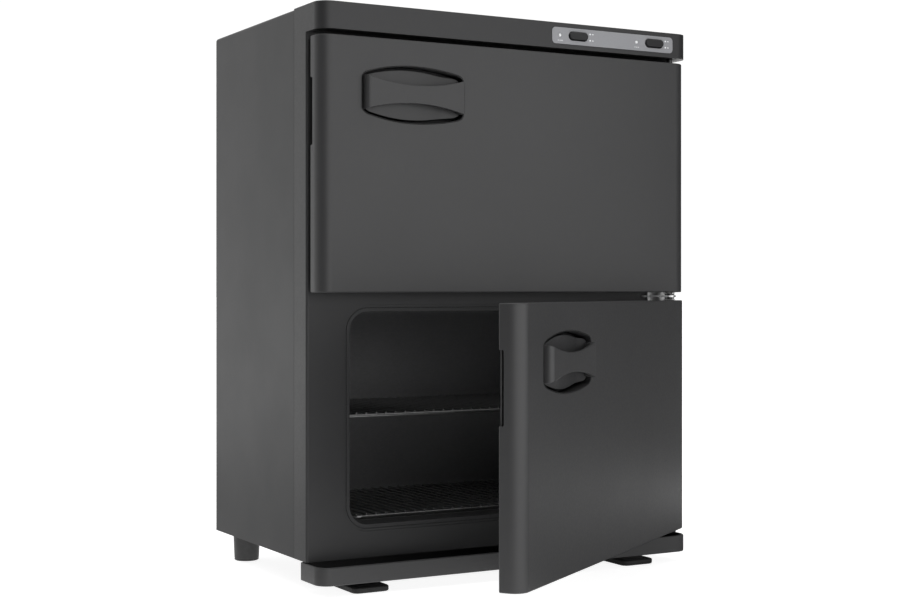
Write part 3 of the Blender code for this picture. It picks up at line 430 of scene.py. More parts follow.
def rubber(name, color, roughness=0.78):
    """Moulded rubber with a matt, slightly dusty skin."""
    n = Nodes(name)
    dust = n.spread(n.noise(55.0, 5.0, 0.7), 0.0, 0.35, 0.45, 0.75)
    skin = n.total(n.noise(1500.0, 2.0), n.noise(180.0, 2.0))
    return n.paint({"Base Color": n.blend(dust, color, shade(color, 2.4)),
                    "Roughness": n.spread(n.noise(30.0, 3.0), roughness - 0.08, roughness + 0.08),
                    "Normal": n.bump(skin, 0.00006, 0.6)})


def steel(name, color, roughness, grain=(1.0, 1.0, 60.0), depth=0.00003):
    """Bright steel with a fine drawn grain along one axis and faint water spots."""
    n = Nodes(name)
    lines = n.noise(90.0, 4.0, 0.6, grain)
    spots = n.spread(n.noise(140.0, 2.0), 0.0, 0.5, 0.60, 0.72)
    tone = n.blend(n.spread(lines, 0.0, 1.0), shade(color, 0.86), color)
    rough = n.total(n.spread(lines, roughness - 0.06, roughness + 0.08), n.times(spots, 0.2))
    return n.paint({"Base Color": n.blend(spots, tone, shade(color, 0.72)), "Roughness": rough,
                    "Metallic": 1.0, "Normal": n.bump(lines, depth, 0.5)})


def coated_liner(name, color, roughness):
    """Dark anodised aluminium: long rolling grain, mineral haze from steam, part metallic."""
    n = Nodes(name)
    grain = n.noise(150.0, 3.0, 0.6, (2.0, 0.015, 4.0))
    haze = n.spread(n.noise(9.0, 5.0, 0.7), 0.0, 0.30, 0.45, 0.75)
    tone = n.blend(n.spread(grain, 0.0, 1.0), shade(color, 0.94), shade(color, 1.06))
    rough = n.total(n.spread(grain, roughness - 0.03, roughness + 0.03), n.times(haze, 0.15))
    return n.paint({"Base Color": n.blend(haze, tone, shade(color, 1.3)), "Roughness": rough,
                    "Metallic": 0.4, "Normal": n.bump(grain, 0.00001, 0.4)})


def foam(name, color):
    """Expanded bead foam: packed cells with darker seams."""
    n = Nodes(name)
    cells = n.add("ShaderNodeTexVoronoi", {"Vector": n.where, "Scale": 320.0}, feature="DISTANCE_TO_EDGE")
    seam = n.spread(cells.outputs["Distance"], 0.0, 1.0, 0.0, 0.12)
    return n.paint({"Base Color": n.blend(seam, shade(color, 0.72), color),
                    "Roughness": n.spread(n.noise(60.0), 0.82, 0.95), "Normal": n.bump(seam, 0.0004, 0.7)})


def print_panel(name, color, roughness):
    """Satin overlay film on the control panel, with a very fine speckle."""
    n = Nodes(name)
    speckle = n.noise(3200.0, 1.0)
    tone = n.blend(n.spread(speckle, 0.0, 1.0), shade(color, 0.93), shade(color, 1.07))
    return n.paint({"Base Color": tone, "Normal": n.bump(speckle, 0.00002, 0.4),
                    "Roughness": n.spread(n.noise(40.0, 3.0), roughness - 0.05, roughness + 0.06)})


def lens(name, color):
    """Milky lamp lens with a faint inner mottling."""
    n = Nodes(name)
    mottle = n.noise(900.0, 2.0)
    return n.paint({"Base Color": n.blend(n.spread(mottle, 0.0, 1.0), shade(color, 0.9), color),
                    "Roughness": n.spread(mottle, 0.18, 0.30), "Subsurface Weight": 0.3,
                    "Subsurface Radius": (0.6 * MM, 0.6 * MM, 0.6 * MM),
                    "Normal": n.bump(mottle, 0.00002, 0.3)})


FINISHES = {name: make(name + "_look", *values) for name, make, *values in (
    ("charcoal_plastic", moulded, (0.042, 0.042, 0.043), 0.42),
    # Darker than the door plastic: partly the moulding's own darker tone, partly painted shade for the frame
    # behind the open lower door.
    ("bezel_plastic", moulded, (0.030, 0.030, 0.031), 0.42),
    ("charcoal_steel", powder_coat, (0.027, 0.027, 0.028), 0.42),
    ("black_plastic", moulded, (0.016, 0.016, 0.017), 0.42, 3000.0, 0.00003, 0.08),
    ("black_rubber", rubber, (0.016, 0.016, 0.016)),
    ("panel_grey", print_panel, (0.285, 0.288, 0.303), 0.38),
    ("lamp_lens", lens, (0.92, 0.93, 0.95)),
    ("bright_steel", steel, (0.50, 0.50, 0.50), 0.30),
    ("zinc_plate", steel, (0.80, 0.80, 0.80), 0.36, (1.0, 1.0, 8.0), 0.00001),
    ("oiled_steel", steel, (0.10, 0.10, 0.10), 0.40, (1.0, 1.0, 8.0), 0.00001),
    ("plated_wire", steel, (0.34, 0.34, 0.34), 0.34, (1.0, 1.0, 1.0), 0.00001),
    # Lighter and glossier than black_rubber: partly a lighter rubber, partly a painted highlight on the rear
    # feet.
    ("foot_rubber", rubber, (0.034, 0.034, 0.034), 0.50),
    ("dark_liner", coated_liner, (0.20, 0.20, 0.204), 0.42),
    ("white_foam", foam, (0.80, 0.79, 0.74)),
    ("heater_silicone", rubber, (0.34, 0.085, 0.04), 0.62),
    ("white_nylon", moulded, (0.72, 0.72, 0.70), 0.40, 1800.0, 0.00003, 0.02))}


# ---------------------------------------------------------------- casing
def storeys_cut(target, grow, front, back):
    """Cut both chamber openings' outline, grown by a distance, out of a target."""
    return carve(target, [prism("mouth_cutter", mouth(grow, shift), front, back) for shift in (0, -STOREY)])


def groove_cutter(inner, outer, start, inner_floor, outer_floor):
    """A cutter for a groove between two outlines, from one depth to a flat or sloping floor."""
    return loft("groove", [upright(inner, start), upright(outer, start), upright(outer, outer_floor),
                           upright(inner, inner_floor)], closed=True)


def hinge_bore(radius, half_depth, level):
    """A round cutter on the hinge line."""
    return turned("bore", [(0, -half_depth), (radius, -half_depth), (radius, half_depth), (0, half_depth)],
                  Matrix.Translation((HINGE.x, HINGE.y, level)))


def make_bezel():
    """Front frame and lid as one moulding, with a stepped bead round each opening."""
    low, high = BEZEL_LOW, BEZEL_HIGH
    body = block("front_bezel_look", (low.x, FRAME_FACE, low.z), (high.x, high.y, LID_BOTTOM + 2 * WALL),
                 radius=2.5 * MM, sides=front_edges, segments=5)
    lid = block("lid", (low.x, low.y, LID_BOTTOM), (high.x, high.y, high.z), radius=PLAN_RADIUS,
                sides=front_edges)
    carve(body, [lid], "UNION")
    rear = high.y + 10 * MM
    cavity = block("cavity", (low.x + WALL, FRAME_FACE + WALL, low.z + WALL),
                   (high.x - WALL, rear, high.z - WALL - GAP))
    lid_cavity = block("lid_cavity", (low.x + WALL, low.y + WALL, LID_BOTTOM + WALL),
                       (high.x - WALL, rear - GAP, high.z - WALL), radius=PLAN_RADIUS - WALL,
                       sides=front_edges)
    carve(cavity, [lid_cavity], "UNION")
    storeys_cut(cavity, WALL, FRAME_FACE - WALL, rear + WALL)
    carve(body, [cavity])
    land, land_depth = 7 * MM, 0.8 * MM
    storeys_cut(body, land, FRAME_FACE - WALL, FRAME_FACE + land_depth)
    storeys_cut(body, 0, FRAME_FACE - WALL, rear + 2 * WALL)
    groove_in, groove_out, groove_depth = 3.6 * MM, 4.3 * MM, 0.7 * MM
    floor = FRAME_FACE + land_depth + groove_depth
    carve(body, [groove_cutter(mouth(groove_in, shift), mouth(groove_out, shift), FRAME_FACE - WALL,
                               floor, floor) for shift in (0, -STOREY)])

    plate_low, plate_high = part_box("control_plate")
    seat = prism("seat", rounded_rectangle((plate_low.x - GAP, plate_low.z - GAP),
                                           (plate_high.x + GAP, plate_high.z + GAP), PLATE_RADIUS + GAP),
                 low.y - WALL, plate_high.y + GAP)
    holes = [seat]
    for side in ("left", "right"):
        rocker_hole = stadium(rocker_spot(side), 12.6 * MM, 5.1 * MM)
        holes.append(prism("rocker_hole", rocker_hole, low.y, low.y + 2 * WALL))
        holes.append(prism("lamp_hole", disc(lamp_spot(side), 2.1 * MM), low.y, low.y + 2 * WALL))
    holes.append(hinge_bore(PIN_RADIUS + 0.4 * MM, 6 * MM, LID_BOTTOM))
    carve(body, holes)
    finish(body, "cabinet", "bezel_plastic", ["front_bezel"], edge=0.9 * MM, edge_segments=3)


def rocker_spot(side):
    place = JOINTS[side + "_rocker_tilt"]["pos_m"]
    return place[0], place[2]


def lamp_spot(side):
    low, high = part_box(side + "_indicator_lamp")
    return (low.x + high.x) / 2, (low.z + high.z) / 2


def screw_spots():
    """Each rear screw's node and centre."""
    for corner in ("lower_left", "lower_right", "upper_left", "upper_right"):
        node = "back_screw_" + corner
        low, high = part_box(node)
        yield node, (low + high) / 2


def make_wrap():
    """Folded sheet: both sides and the top with rolled corners, and a rear flange."""
    low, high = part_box("cabinet_wrap")
    fold, side_lip, top_lip, below = 4 * MM, 14 * MM, 6 * MM, 10 * MM
    wrap = block("cabinet_wrap_look", low, high, radius=fold, along="Y", sides=upper_edges, segments=8)
    inside = block("inside", (low.x + SHEET, low.y - below, low.z - below),
                   (high.x - SHEET, high.y - SHEET, high.z - SHEET), radius=fold - SHEET, along="Y",
                   sides=upper_edges, segments=8)
    rear = block("rear", (low.x + side_lip, low.y, low.z - below),
                 (high.x - side_lip, high.y + below, high.z - top_lip))
    holes = [prism("hole", disc((spot.x, spot.z), SCREW_HOLE), high.y - below, high.y + below)
             for _, spot in screw_spots()]
    carve(wrap, [inside])
    carve(wrap, [rear, *holes])
    finish(wrap, "cabinet", "charcoal_steel", ["cabinet_wrap"], edge=0.35 * MM)


def make_back():
    """Rear cover with vent slots and a pressed stiffening step, and pan-head screws with cross recesses."""
    low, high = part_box("back_panel")
    panel = block("back_panel_look", low, high, radius=3 * MM, along="Y", segments=8)
    vents, pitch, level, half_w, half_h = 6, 22 * MM, 568 * MM, 8 * MM, 2 * MM
    cutters = [prism("slot", stadium(((index - (vents - 1) / 2) * pitch, level), half_w, half_h),
                     low.y - GAP, high.y + GAP) for index in range(vents)]
    cutters += [prism("hole", disc((spot.x, spot.z), SCREW_HOLE), low.y - GAP, high.y + GAP)
                for _, spot in screw_spots()]
    inlet_low, inlet_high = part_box("power_inlet")
    ear, lip = 5.5 * MM, 1.5 * MM
    cutters.append(block("inlet_hole", (inlet_low.x + ear, low.y - GAP, inlet_low.z + lip),
                         (inlet_high.x - ear, high.y + GAP, inlet_high.z - lip)))
    inset, width, depth, corner = 26 * MM, 3 * MM, 0.5 * MM, 12 * MM
    outer = rounded_rectangle((low.x + inset, low.z + inset), (high.x - inset, high.z - 2 * inset), corner)
    inner = rounded_rectangle((low.x + inset + width, low.z + inset + width),
                              (high.x - inset - width, high.z - 2 * inset - width), corner - width)
    cutters.append(groove_cutter(inner, outer, high.y + GAP, high.y - depth, high.y - depth / 2))
    carve(panel, cutters)
    finish(panel, "cabinet", "charcoal_steel", ["back_panel"], edge=0.3 * MM)

    seat = high.y + GAP
    for node, centre in screw_spots():
        low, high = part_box(node)
        rim, shank = (high.x - low.x) / 2, 1.6 * MM
        head = high.y - seat
        profile = [(0, head), (rim * 0.45, head * 0.97), (rim * 0.75, head * 0.80), (rim * 0.93, head * 0.50),
                   (rim, head * 0.15), (rim, 0), (shank, 0), (shank, low.y - seat), (0, low.y - seat)]
        place = Matrix.Translation((centre.x, seat, centre.z)) @ Matrix.Rotation(-pi / 2, 4, "X")
        screw = turned(node + "_look", profile, place)
        arm, slit = 1.9 * MM, 0.4 * MM
        carve(screw, [block("recess", (centre.x - half_w, seat + head * 0.35, centre.z - half_h),
                            (centre.x + half_w, high.y + MM, centre.z + half_h))
                      for half_w, half_h in ((arm, slit), (slit, arm))])
        finish(screw, "cabinet", "bright_steel", [node])


# ---------------------------------------------------------------- chambers and racks
def make_chambers():
    """Drawn liners with a rolled lip and ledges for the middle rack."""
    front, back = LINER_LOW.y, LINER_HIGH.y
    floor = back - SHEET
    outside = ((-8 * MM, back), (0, back - 2 * MM), (SHEET, back - 8 * MM), (SHEET, front + SHEET))
    inside = ((LINER_FLANGE, front + SHEET), (LINER_FLANGE, front), (1.2 * MM, front),
              (0.5 * MM, front + 0.3 * MM), (0, front + 1.2 * MM), (0, floor - 8 * MM),
              (-0.6 * MM, floor - 5 * MM), (-2.4 * MM, floor - 2 * MM), (-5 * MM, floor - 0.6 * MM),
              (-8 * MM, floor))
    rack_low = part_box("upper_middle_rack")[0].z
    for label, place in FLOORS.items():
        parts = [loft("pan", [upright(mouth(grow), depth) for grow, depth in (*outside, *inside)])]
        for side in (-1, 1):
            wall = side * (MOUTH_HIGH[0] + SHEET / 2)
            inner = side * (MOUTH_HIGH[0] - 4 * MM)
            parts.append(block("ledge", (min(wall, inner), front + 5 * MM, rack_low - GAP - 3 * MM),
                               (max(wall, inner), back - 9 * MM, rack_low - GAP), rim=0.8 * MM))
        node = label + "_chamber_liner"
        finish(merged(node + "_look", parts), "cabinet", "dark_liner", [node], place)


def make_racks():
    """Wire racks: a bent frame wire with thin round wires welded across it."""
    frame_radius, wire_radius, corner = 2 * MM, 1.2 * MM, 12 * MM
    for label in ("lower", "upper"):
        for level in ("floor", "middle"):
            node = "%s_%s_rack" % (label, level)
            low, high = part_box(node)
            centre_z = low.z + frame_radius
            wire_z = high.z - wire_radius
            front, back = low.y + 0.5 * MM, high.y - 0.5 * MM
            left, right = low.x + frame_radius, high.x - frame_radius
            outline = rounded_rectangle((left, low.y + frame_radius), (right, high.y - frame_radius),
                                        corner, 8)
            parts = [swept_loop("frame", outline, centre_z, frame_radius)]
            pitch, margin = 11.4 * MM, 5 * MM
            spans = int((right - left - 2 * margin) / pitch)
            for index in range(spans + 1):
                across = (left + right) / 2 + (index - spans / 2) * pitch
                parts.append(round_wire("wire", across, wire_z, front, back, wire_radius))
            finish(merged(node + "_look", parts), "cabinet", "plated_wire", [node])


def swept_loop(name, outline, height, radius, sides=12):
    """A round wire bent along a closed flat outline."""
    rings = []
    count = len(outline)
    for index, (across, depth) in enumerate(outline):
        before, after = outline[index - 1], outline[(index + 1) % count]
        along = Vector((after[0] - before[0], after[1] - before[1], 0)).normalized()
        side = Vector((along.y, -along.x, 0))
        middle = Vector((across, depth, height))
        rings.append([middle + side * (radius * x) + Vector((0, 0, radius * y)) for x, y in circle(sides)])
    return loft(name, rings, closed=True)


def round_wire(name, across, height, front, back, radius, sides=12):
    """A straight wire along Y with slightly rounded ends."""
    rings = []
    chamfer = radius * 0.4
    for depth, size in ((front, radius - chamfer), (front + chamfer, radius), (back - chamfer, radius),
                        (back, radius - chamfer)):
        rings.append([(across + size * x, depth, height + size * y) for x, y in circle(sides)])
    return loft(name, rings)


# ---------------------------------------------------------------- doors
HANDLE_LOW, HANDLE_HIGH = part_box("upper_door_handle")
HANDLE_CENTRE = Vector(((HANDLE_LOW.x + HANDLE_HIGH.x) / 2, FACE, (HANDLE_LOW.z + HANDLE_HIGH.z) / 2))
HANDLE_HALF_W = (HANDLE_HIGH.x - HANDLE_LOW.x) / 2 + GAP
HANDLE_HALF_H = (HANDLE_HIGH.z - HANDLE_LOW.z) / 2 + GAP
CUP_BACK = HANDLE_HIGH.y


def handle_outline(grow=0.0, steps=13):
    """The handle's outline about its centre: bowed top and bottom, straight sides, round corners."""
    half_w, mid = HANDLE_HALF_W + grow, HANDLE_HALF_H + grow

    def quarter(end_drop):
        """From the side up round its corner, and along the bow to the middle."""
        end, bow_share = mid - end_drop, 0.88
        bow = [(half_w * bow_share * step / steps, mid - end_drop * (bow_share * step / steps) ** 2)
               for step in range(steps, -1, -1)]
        start, corner, stop = Vector((half_w, end - 5 * MM)), Vector((half_w, end - 0.5 * MM)), Vector(bow[0])
        bend = [start * (1 - share) ** 2 + corner * (2 * share * (1 - share)) + stop * share ** 2
                for share in (step / 6 for step in range(6))]
        return [tuple(point) for point in bend] + bow

    hinge_side, free_side = quarter(7.2 * MM), quarter(9.6 * MM)
    upper = hinge_side + [(-across, up) for across, up in reversed(free_side[:-1])]
    lower = [(across, -up) for across, up in reversed(upper)]
    return upper + lower


def handle_prism(name, grow, front, back):
    """The handle's outline, grown on all sides, between two depths."""
    points = [(HANDLE_CENTRE.x + across, HANDLE_CENTRE.z + up) for across, up in handle_outline(grow)]
    return prism(name, points, front, back)


def hinge_share(across):
    """0 at the handle's free end and 1 at its hinge end."""
    return min(1.0, max(0.0, (across + HANDLE_HALF_W) / (2 * HANDLE_HALF_W)))


def eased(share, start):
    """0 up to start, then a smooth rise to 1."""
    part = max(0.0, (share - start) / (1 - start))
    return part * part * (3 - 2 * part)


def cup_floor(across):
    """Depth of the cup's floor: shallow at the free end, deepest past the middle, then rising again."""
    share = hinge_share(across)
    return 1.2 * MM + 8.2 * MM * share ** 1.2 * (1 - 0.72 * eased(share, 0.78))


def groove_width(across):
    """Width of the slot between the cup's floor and its outline, widest past the middle."""
    share = hinge_share(across)
    return 1.5 * MM + 2.8 * MM * share ** 0.6 * (1 - 0.75 * eased(share, 0.75))


def groove_depth(across):
    """Depth of that slot, which stays inside the cup's back."""
    return min(2 * MM + 13 * MM * hinge_share(across) ** 0.35, CUP_BACK - FACE - 1.0 * MM)


def make_cup(name):
    """The recess: a thin lip, a deep slot along the bowed edges and a smooth sloping floor, closed behind."""
    centre = HANDLE_CENTRE
    edge, reach = -0.65 * MM, 6 * MM
    outer, inner = handle_outline(edge), handle_outline(edge - reach)

    def ring(points, depth_of):
        return [(centre.x + across, centre.y + depth_of(across), centre.z + up) for across, up in points]

    def slot_ring(share, extra, depth_of):
        """Points between the outline and the floor, a share of the slot's width and an extra distance in."""
        points = []
        for near, far in zip(outer, inner):
            mix = (groove_width(near[0]) * share + extra) / reach
            points.append((near[0] + (far[0] - near[0]) * mix, near[1] + (far[1] - near[1]) * mix))
        return ring(points, depth_of)

    back = CUP_BACK - FACE
    rings = [ring(handle_outline(-GAP), lambda across: back),
             ring(handle_outline(-GAP), lambda across: 0.2 * MM),
             ring(handle_outline(-0.36 * MM), lambda across: 0.04 * MM),
             ring(handle_outline(-0.5 * MM), lambda across: 0.0),
             ring(outer, lambda across: 0.1 * MM),
             slot_ring(0.06, 0.0, lambda across: 1.2 * MM),
             slot_ring(0.12, 0.0, groove_depth),
             slot_ring(0.90, 0.0, groove_depth),
             slot_ring(1.0, 0.0, lambda across: cup_floor(across) + 0.5 * MM),
             slot_ring(1.0, 0.35 * MM, lambda across: cup_floor(across) + 0.1 * MM),
             slot_ring(1.0, 0.9 * MM, cup_floor)]
    for scale in (0.86, 0.7, 0.5, 0.3, 0.12):
        rings.append(ring([(across * scale, up * scale) for across, up in inner], cup_floor))
    return loft(name, rings)


def make_bar(name):
    """The waisted grip that bridges the cup: a bent plate, rounded on all its edges."""
    centre = HANDLE_CENTRE
    proud_left, proud_right = FACE - HANDLE_LOW.y, 5.4 * MM
    inset, leg, thickness, corner = 1.5 * MM, 6 * MM, 4 * MM, 1.0 * MM
    mid_half_h, end_half_h, free_end_radius = 9.3 * MM, 17.2 * MM, 6 * MM
    left, right = -HANDLE_HALF_W + inset, HANDLE_HALF_W - inset
    waist = end_half_h - mid_half_h
    radius = (right ** 2 + waist ** 2) / (2 * waist)

    def section(across, inset_now):
        """One closed cross-section in depth and height, with round front corners."""
        share = (across - left) / (right - left)
        from_end = max(0.0, left + free_end_radius - across)
        rounding = free_end_radius - sqrt(free_end_radius ** 2 - from_end ** 2)
        front = -(proud_left + (proud_right - proud_left) * share) + max(inset_now, rounding)
        half_h = mid_half_h + radius - sqrt(radius ** 2 - across ** 2) - inset_now
        on_leg = across < left + leg - 1e-6 or across > right - leg + 1e-6
        back = cup_floor(across) + 1.5 * MM if on_leg else front + thickness - 2 * inset_now
        corners = ((front + corner, half_h - corner, 90), (front + corner, -half_h + corner, 180),
                   (back - corner, -half_h + corner, 270), (back - corner, half_h - corner, 0))
        return [(centre.x + across, centre.y + depth, centre.z + up)
                for middle_depth, middle_up, start in corners
                for depth, up in arc((middle_depth, middle_up), corner, start, start + 90, 4)]

    ends = [(position * MM, inset_now * MM)
            for position, inset_now in ((0.0, 1.0), (0.1, 0.55), (0.3, 0.27), (0.6, 0.08), (1.0, 0.0))]
    rings = [section(left + position, inset_now) for position, inset_now in ends]
    stations = 30
    plain = [left + 1.5 * MM + (right - left - 3 * MM) * step / stations for step in range(stations + 1)]
    plain += [left + free_end_radius * share for share in (0.45, 0.55, 0.75, 0.9)]
    plain += [bend + side * 0.02 * MM for bend in (left + leg, right - leg) for side in (-1, 1)]
    rings += [section(across, 0.0) for across in sorted(plain)]
    rings += [section(right - position, inset_now) for position, inset_now in reversed(ends)]
    return loft(name, rings)


def make_door(label, place):
    """Door shell, handle cup and bar, inner panel and gasket."""
    low, high = DOOR_LOW, DOOR_HIGH
    shell = block(label + "_shell_look", low, high, radius=PLAN_RADIUS, sides=front_edges, rim=SOFT_RIM,
                  rim_segments=4)
    hollow = block("hollow", (low.x + WALL, low.y + WALL, low.z + WALL),
                   (high.x - WALL, high.y + WALL, high.z - WALL), radius=PLAN_RADIUS - WALL,
                   sides=front_edges)
    carve(shell, [hollow])
    notch_low, notch_high = 108 * MM, 41 * MM
    cutters = [block("notch", (low.x - WALL, high.y - 5 * MM, high.z - notch_low),
                     (low.x + 2 * WALL, high.y + WALL, high.z - notch_high), radius=1.5 * MM, along="X",
                     segments=4),
               handle_prism("window", 0.0, low.y - 5 * MM, low.y + 5 * MM)]
    cutters += [hinge_bore(5 * MM, 4 * MM, level) for level in (low.z, high.z)]
    carve(shell, cutters)
    finish(shell, label, "charcoal_plastic", [label + "_shell"], place, edge=0.35 * MM)

    finish(make_cup(label + "_handle_cup"), label, "charcoal_plastic", [label + "_handle"], place)
    finish(make_bar(label + "_handle_bar"), label, "charcoal_plastic", (), place)

    panel_back = DOOR_HIGH.y - 0.5 * MM
    inset = WALL + GAP
    panel = block(label + "_inner_panel_look", (low.x + inset, panel_back - 1.5 * MM, low.z + inset),
                  (high.x - inset, panel_back, high.z - inset), radius=3 * MM, along="Y", segments=5,
                  rim=0.3 * MM, rim_segments=2)
    carve(panel, [groove_cutter(mouth(-12 * MM), mouth(-9 * MM), panel_back + GAP, panel_back - 0.7 * MM,
                                panel_back - 0.3 * MM)])
    finish(panel, label, "charcoal_plastic", [label + "_inner_panel"], place, edge=0.2 * MM)

    seal_front, seal_back = panel_back + GAP, FRAME_FACE + 0.8 * MM - GAP
    height = seal_back - seal_front
    middle = 3.5 * MM
    bulb = ((3.1, 0.0), (3.1, 0.14), (2.1, 0.20), (2.4, 0.36), (2.8, 0.48), (2.8, 0.80), (2.1, 0.94),
            (1.1, 1.0))
    profile = [*bulb, *((-half, share) for half, share in reversed(bulb))]
    rings = [upright(mouth(middle + half * MM), seal_front + height * share) for half, share in profile]
    gasket = loft(label + "_gasket_look", rings, closed=True)
    finish(gasket, label, "black_rubber", [label + "_gasket"], place)

    node = label + "_foam"
    foam_block = new_object(node + "_look", NODES[node].data.copy())
    room = handle_prism("room", 0.5 * MM, FACE, CUP_BACK + GAP)
    room.data.transform(place)
    carve(foam_block, [room])
    finish(foam_block, label, "white_foam", [node], edge=GAP)

    for end in ("lower", "upper"):
        refined("%s_%s_bush" % (label, end), label, "white_nylon", edge=0.15 * MM)


# ---------------------------------------------------------------- tray, controls, feet and small parts
def make_tray():
    """Drip tray: a shallow trough with soft edges and two flat tongues."""
    low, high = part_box("drip_tray")
    back = low.y + 47 * MM
    wall = 2 * MM
    tray = block("drip_tray_look", low, (high.x, back, high.z), radius=PLAN_RADIUS, sides=front_edges,
                 rim=SOFT_RIM, rim_segments=4)
    trough = block("trough", (low.x + wall, low.y + wall, low.z + wall),
                   (high.x - wall, back - wall, high.z + wall), radius=PLAN_RADIUS - wall, sides=front_edges,
                   rim=1.0 * MM)
    carve(tray, [trough])
    tongues = []
    for side, centre in (("left", -115 * MM), ("right", 115 * MM)):
        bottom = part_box(side + "_tray_guide")[0].z + 2.1 * MM
        tongues.append(block("tongue", (centre - 15 * MM, back - wall / 2, bottom),
                             (centre + 15 * MM, high.y, bottom + 2 * MM), rim=0.4 * MM, rim_segments=2))
    carve(tray, tongues, "UNION")
    finish(tray, "drip_tray", "charcoal_plastic", ["drip_tray"], edge=0.4 * MM)


def make_controls():
    """Overlay plate with its printed marks, two rockers and two lamps."""
    low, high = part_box("control_plate")
    outline = rounded_rectangle((low.x, low.z), (high.x, high.z), PLATE_RADIUS)
    plate = prism("control_plate_look", outline, low.y, high.y, rim=0.25 * MM)
    holes = []
    for side in ("left", "right"):
        for outline in (stadium(rocker_spot(side), 12.3 * MM, 4.9 * MM), disc(lamp_spot(side), 2 * MM)):
            holes.append(prism("hole", outline, low.y - MM, high.y + MM))
    carve(plate, holes)
    finish(plate, "cabinet", "panel_grey", ["control_plate"], edge=0.12 * MM)

    ink = 0.06 * MM
    spots = []                                  # each mark's centre, half width and half height
    for side in ("left", "right"):
        across, up = rocker_spot(side)
        lamp_x, lamp_z = lamp_spot(side)
        for rise in (-3.4 * MM, 3.4 * MM):
            spots.append(((across + 15.2 * MM, up + rise), 0.91 * MM, 0.9 * MM))
            spots.append(((across + 18.7 * MM, up + rise), 1.1 * MM, 0.45 * MM))
        for step in (-1, 0, 1):
            spots.append(((lamp_x + step * 2.3 * MM, lamp_z - 5.6 * MM), 0.85 * MM, 0.32 * MM))
    marks = [prism("mark", stadium(*spot), low.y - ink, low.y + ink) for spot in spots]
    finish(merged("control_panel_marks", marks), "cabinet", "lamp_lens")

    tilt = radians(5)
    for side in ("left", "right"):
        node = side + "_rocker"
        across, up = rocker_spot(side)
        axis_y = JOINTS[side + "_rocker_tilt"]["pos_m"][1]
        front, back = FACE - 2.6 * MM, axis_y + 4.5 * MM
        half_w, half_h = 11.7 * MM, 4.2 * MM
        rings = []
        for inset, depth in ((1.6, 0.35), (0.9, 0.0), (0.45, 0.08), (0.15, 0.35), (0.0, 0.9)):
            rings.append(upright(stadium((across, up), half_w - inset * MM, half_h - inset * MM, 16),
                                 front + depth * MM))
        rings.append(upright(stadium((across, up), half_w, half_h, 16), back))
        turn = (Matrix.Translation((across, axis_y, up)) @ Matrix.Rotation(-tilt, 4, "X")
                @ Matrix.Translation((-across, -axis_y, -up)))
        finish(loft(node + "_look", rings), side + "_rocker", "black_plastic", [node], turn)

        lamp_low, lamp_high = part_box(side + "_indicator_lamp")
        radius = (lamp_high.x - lamp_low.x) / 2
        lamp_x, lamp_z = lamp_spot(side)
        length = lamp_high.y - lamp_low.y
        dome = [(0, 0), (radius * 0.45, -0.04 * MM), (radius * 0.8, -0.18 * MM), (radius, -0.45 * MM),
                (radius, -length), (0, -length)]
        place = Matrix.Translation((lamp_x, lamp_low.y, lamp_z)) @ Matrix.Rotation(pi / 2, 4, "X")
        finish(turned(side + "_indicator_lamp_look", dome, place, 24), "cabinet", "lamp_lens",
               [side + "_indicator_lamp"])


def make_feet():
    """Front feet with a flat toe, and turned rear feet with a grip groove."""
    for side in ("left", "right"):
        refined("front_%s_foot" % side, "cabinet", "black_rubber", edge=0.5 * MM, segments=3)
        node = "rear_%s_foot" % side
        low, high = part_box(node)
        radius, top = (high.x - low.x) / 2, high.z
        place = Matrix.Translation(((low.x + high.x) / 2, (low.y + high.y) / 2, 0))
        upper = ((0.6, 0), (0, 0.6), (0, 3), (0.25, 3.4))     # distances in and down from the top
        lower = ((1.3, 3.2), (1.7, 2.8), (1.7, 2.2), (1.4, 1.8), (1.5, 1.0), (2.4, 0.2), (3, 0), (6, 0),
                 (7, 0.5))                                     # distances in and up from the ground
        profile = [(0, top), *((radius - inward * MM, top - down * MM) for inward, down in upper),
                   *((radius - inward * MM, up * MM) for inward, up in lower), (0, 0.5 * MM)]
        finish(turned(node + "_look", profile, place, 40), "cabinet", "foot_rubber", [node])


def make_small_parts():
    """CAD shapes that are right as they are, given rounded edges."""
    finishes = (("charcoal_steel", ("base_pan",)),
                ("zinc_plate", ("middle_hinge_bracket",)),
                ("charcoal_steel", ("bottom_hinge_bracket", "top_hinge_bracket")),
                ("oiled_steel", ("middle_hinge_pin", "bottom_hinge_pin", "top_hinge_pin")),
                ("charcoal_steel", ("left_tray_guide", "right_tray_guide")),
                ("black_plastic", ("left_switch_housing", "right_switch_housing", "power_inlet")))
    for finish_name, nodes in finishes:
        for node in nodes:
            refined(node, "cabinet", finish_name)


def paint_hidden_nodes():
    """Inner CAD nodes keep their meshes and take the detailed finishes."""
    finishes = {"insulation": "white_foam", "heater_pad": "heater_silicone", "thermostat": "black_plastic",
                "magnet": "bright_steel", "terminal_block": "white_nylon"}
    for name, node in NODES.items():
        for ending, finish_name in finishes.items():
            if name.endswith(ending):
                for slot in node.material_slots:
                    slot.material = FINISHES[finish_name]


# ---------------------------------------------------------------- studio
FLOOR_GREY, FLOOR_GLOW = 0.62, 0.88
CARD_GREY = 0.02
ROOM_LIGHT, SEEN_LIGHT = 0.76, 1.05
# Shaded sides of the room: a direction, the cosines where its shade starts and is full, and how dark it is.
SHADED_SIDES = (((-0.94, -0.34, 0.0), (0.60, 0.80), 1.0),
                ((1.0, 0.07, 0.0), (0.70, 0.84), 0.88))
SOFTBOXES = {"top_softbox": ((0.1, -0.1, 2.4), (2.4, 2.4), 12),     # place, size and power
             "front_softbox": ((0.5, -2.5, 0.55), (4.2, 1.1), 14),
             "rear_left_softbox": ((-1.1, 2.7, 0.7), (1.6, 1.6), 1)}


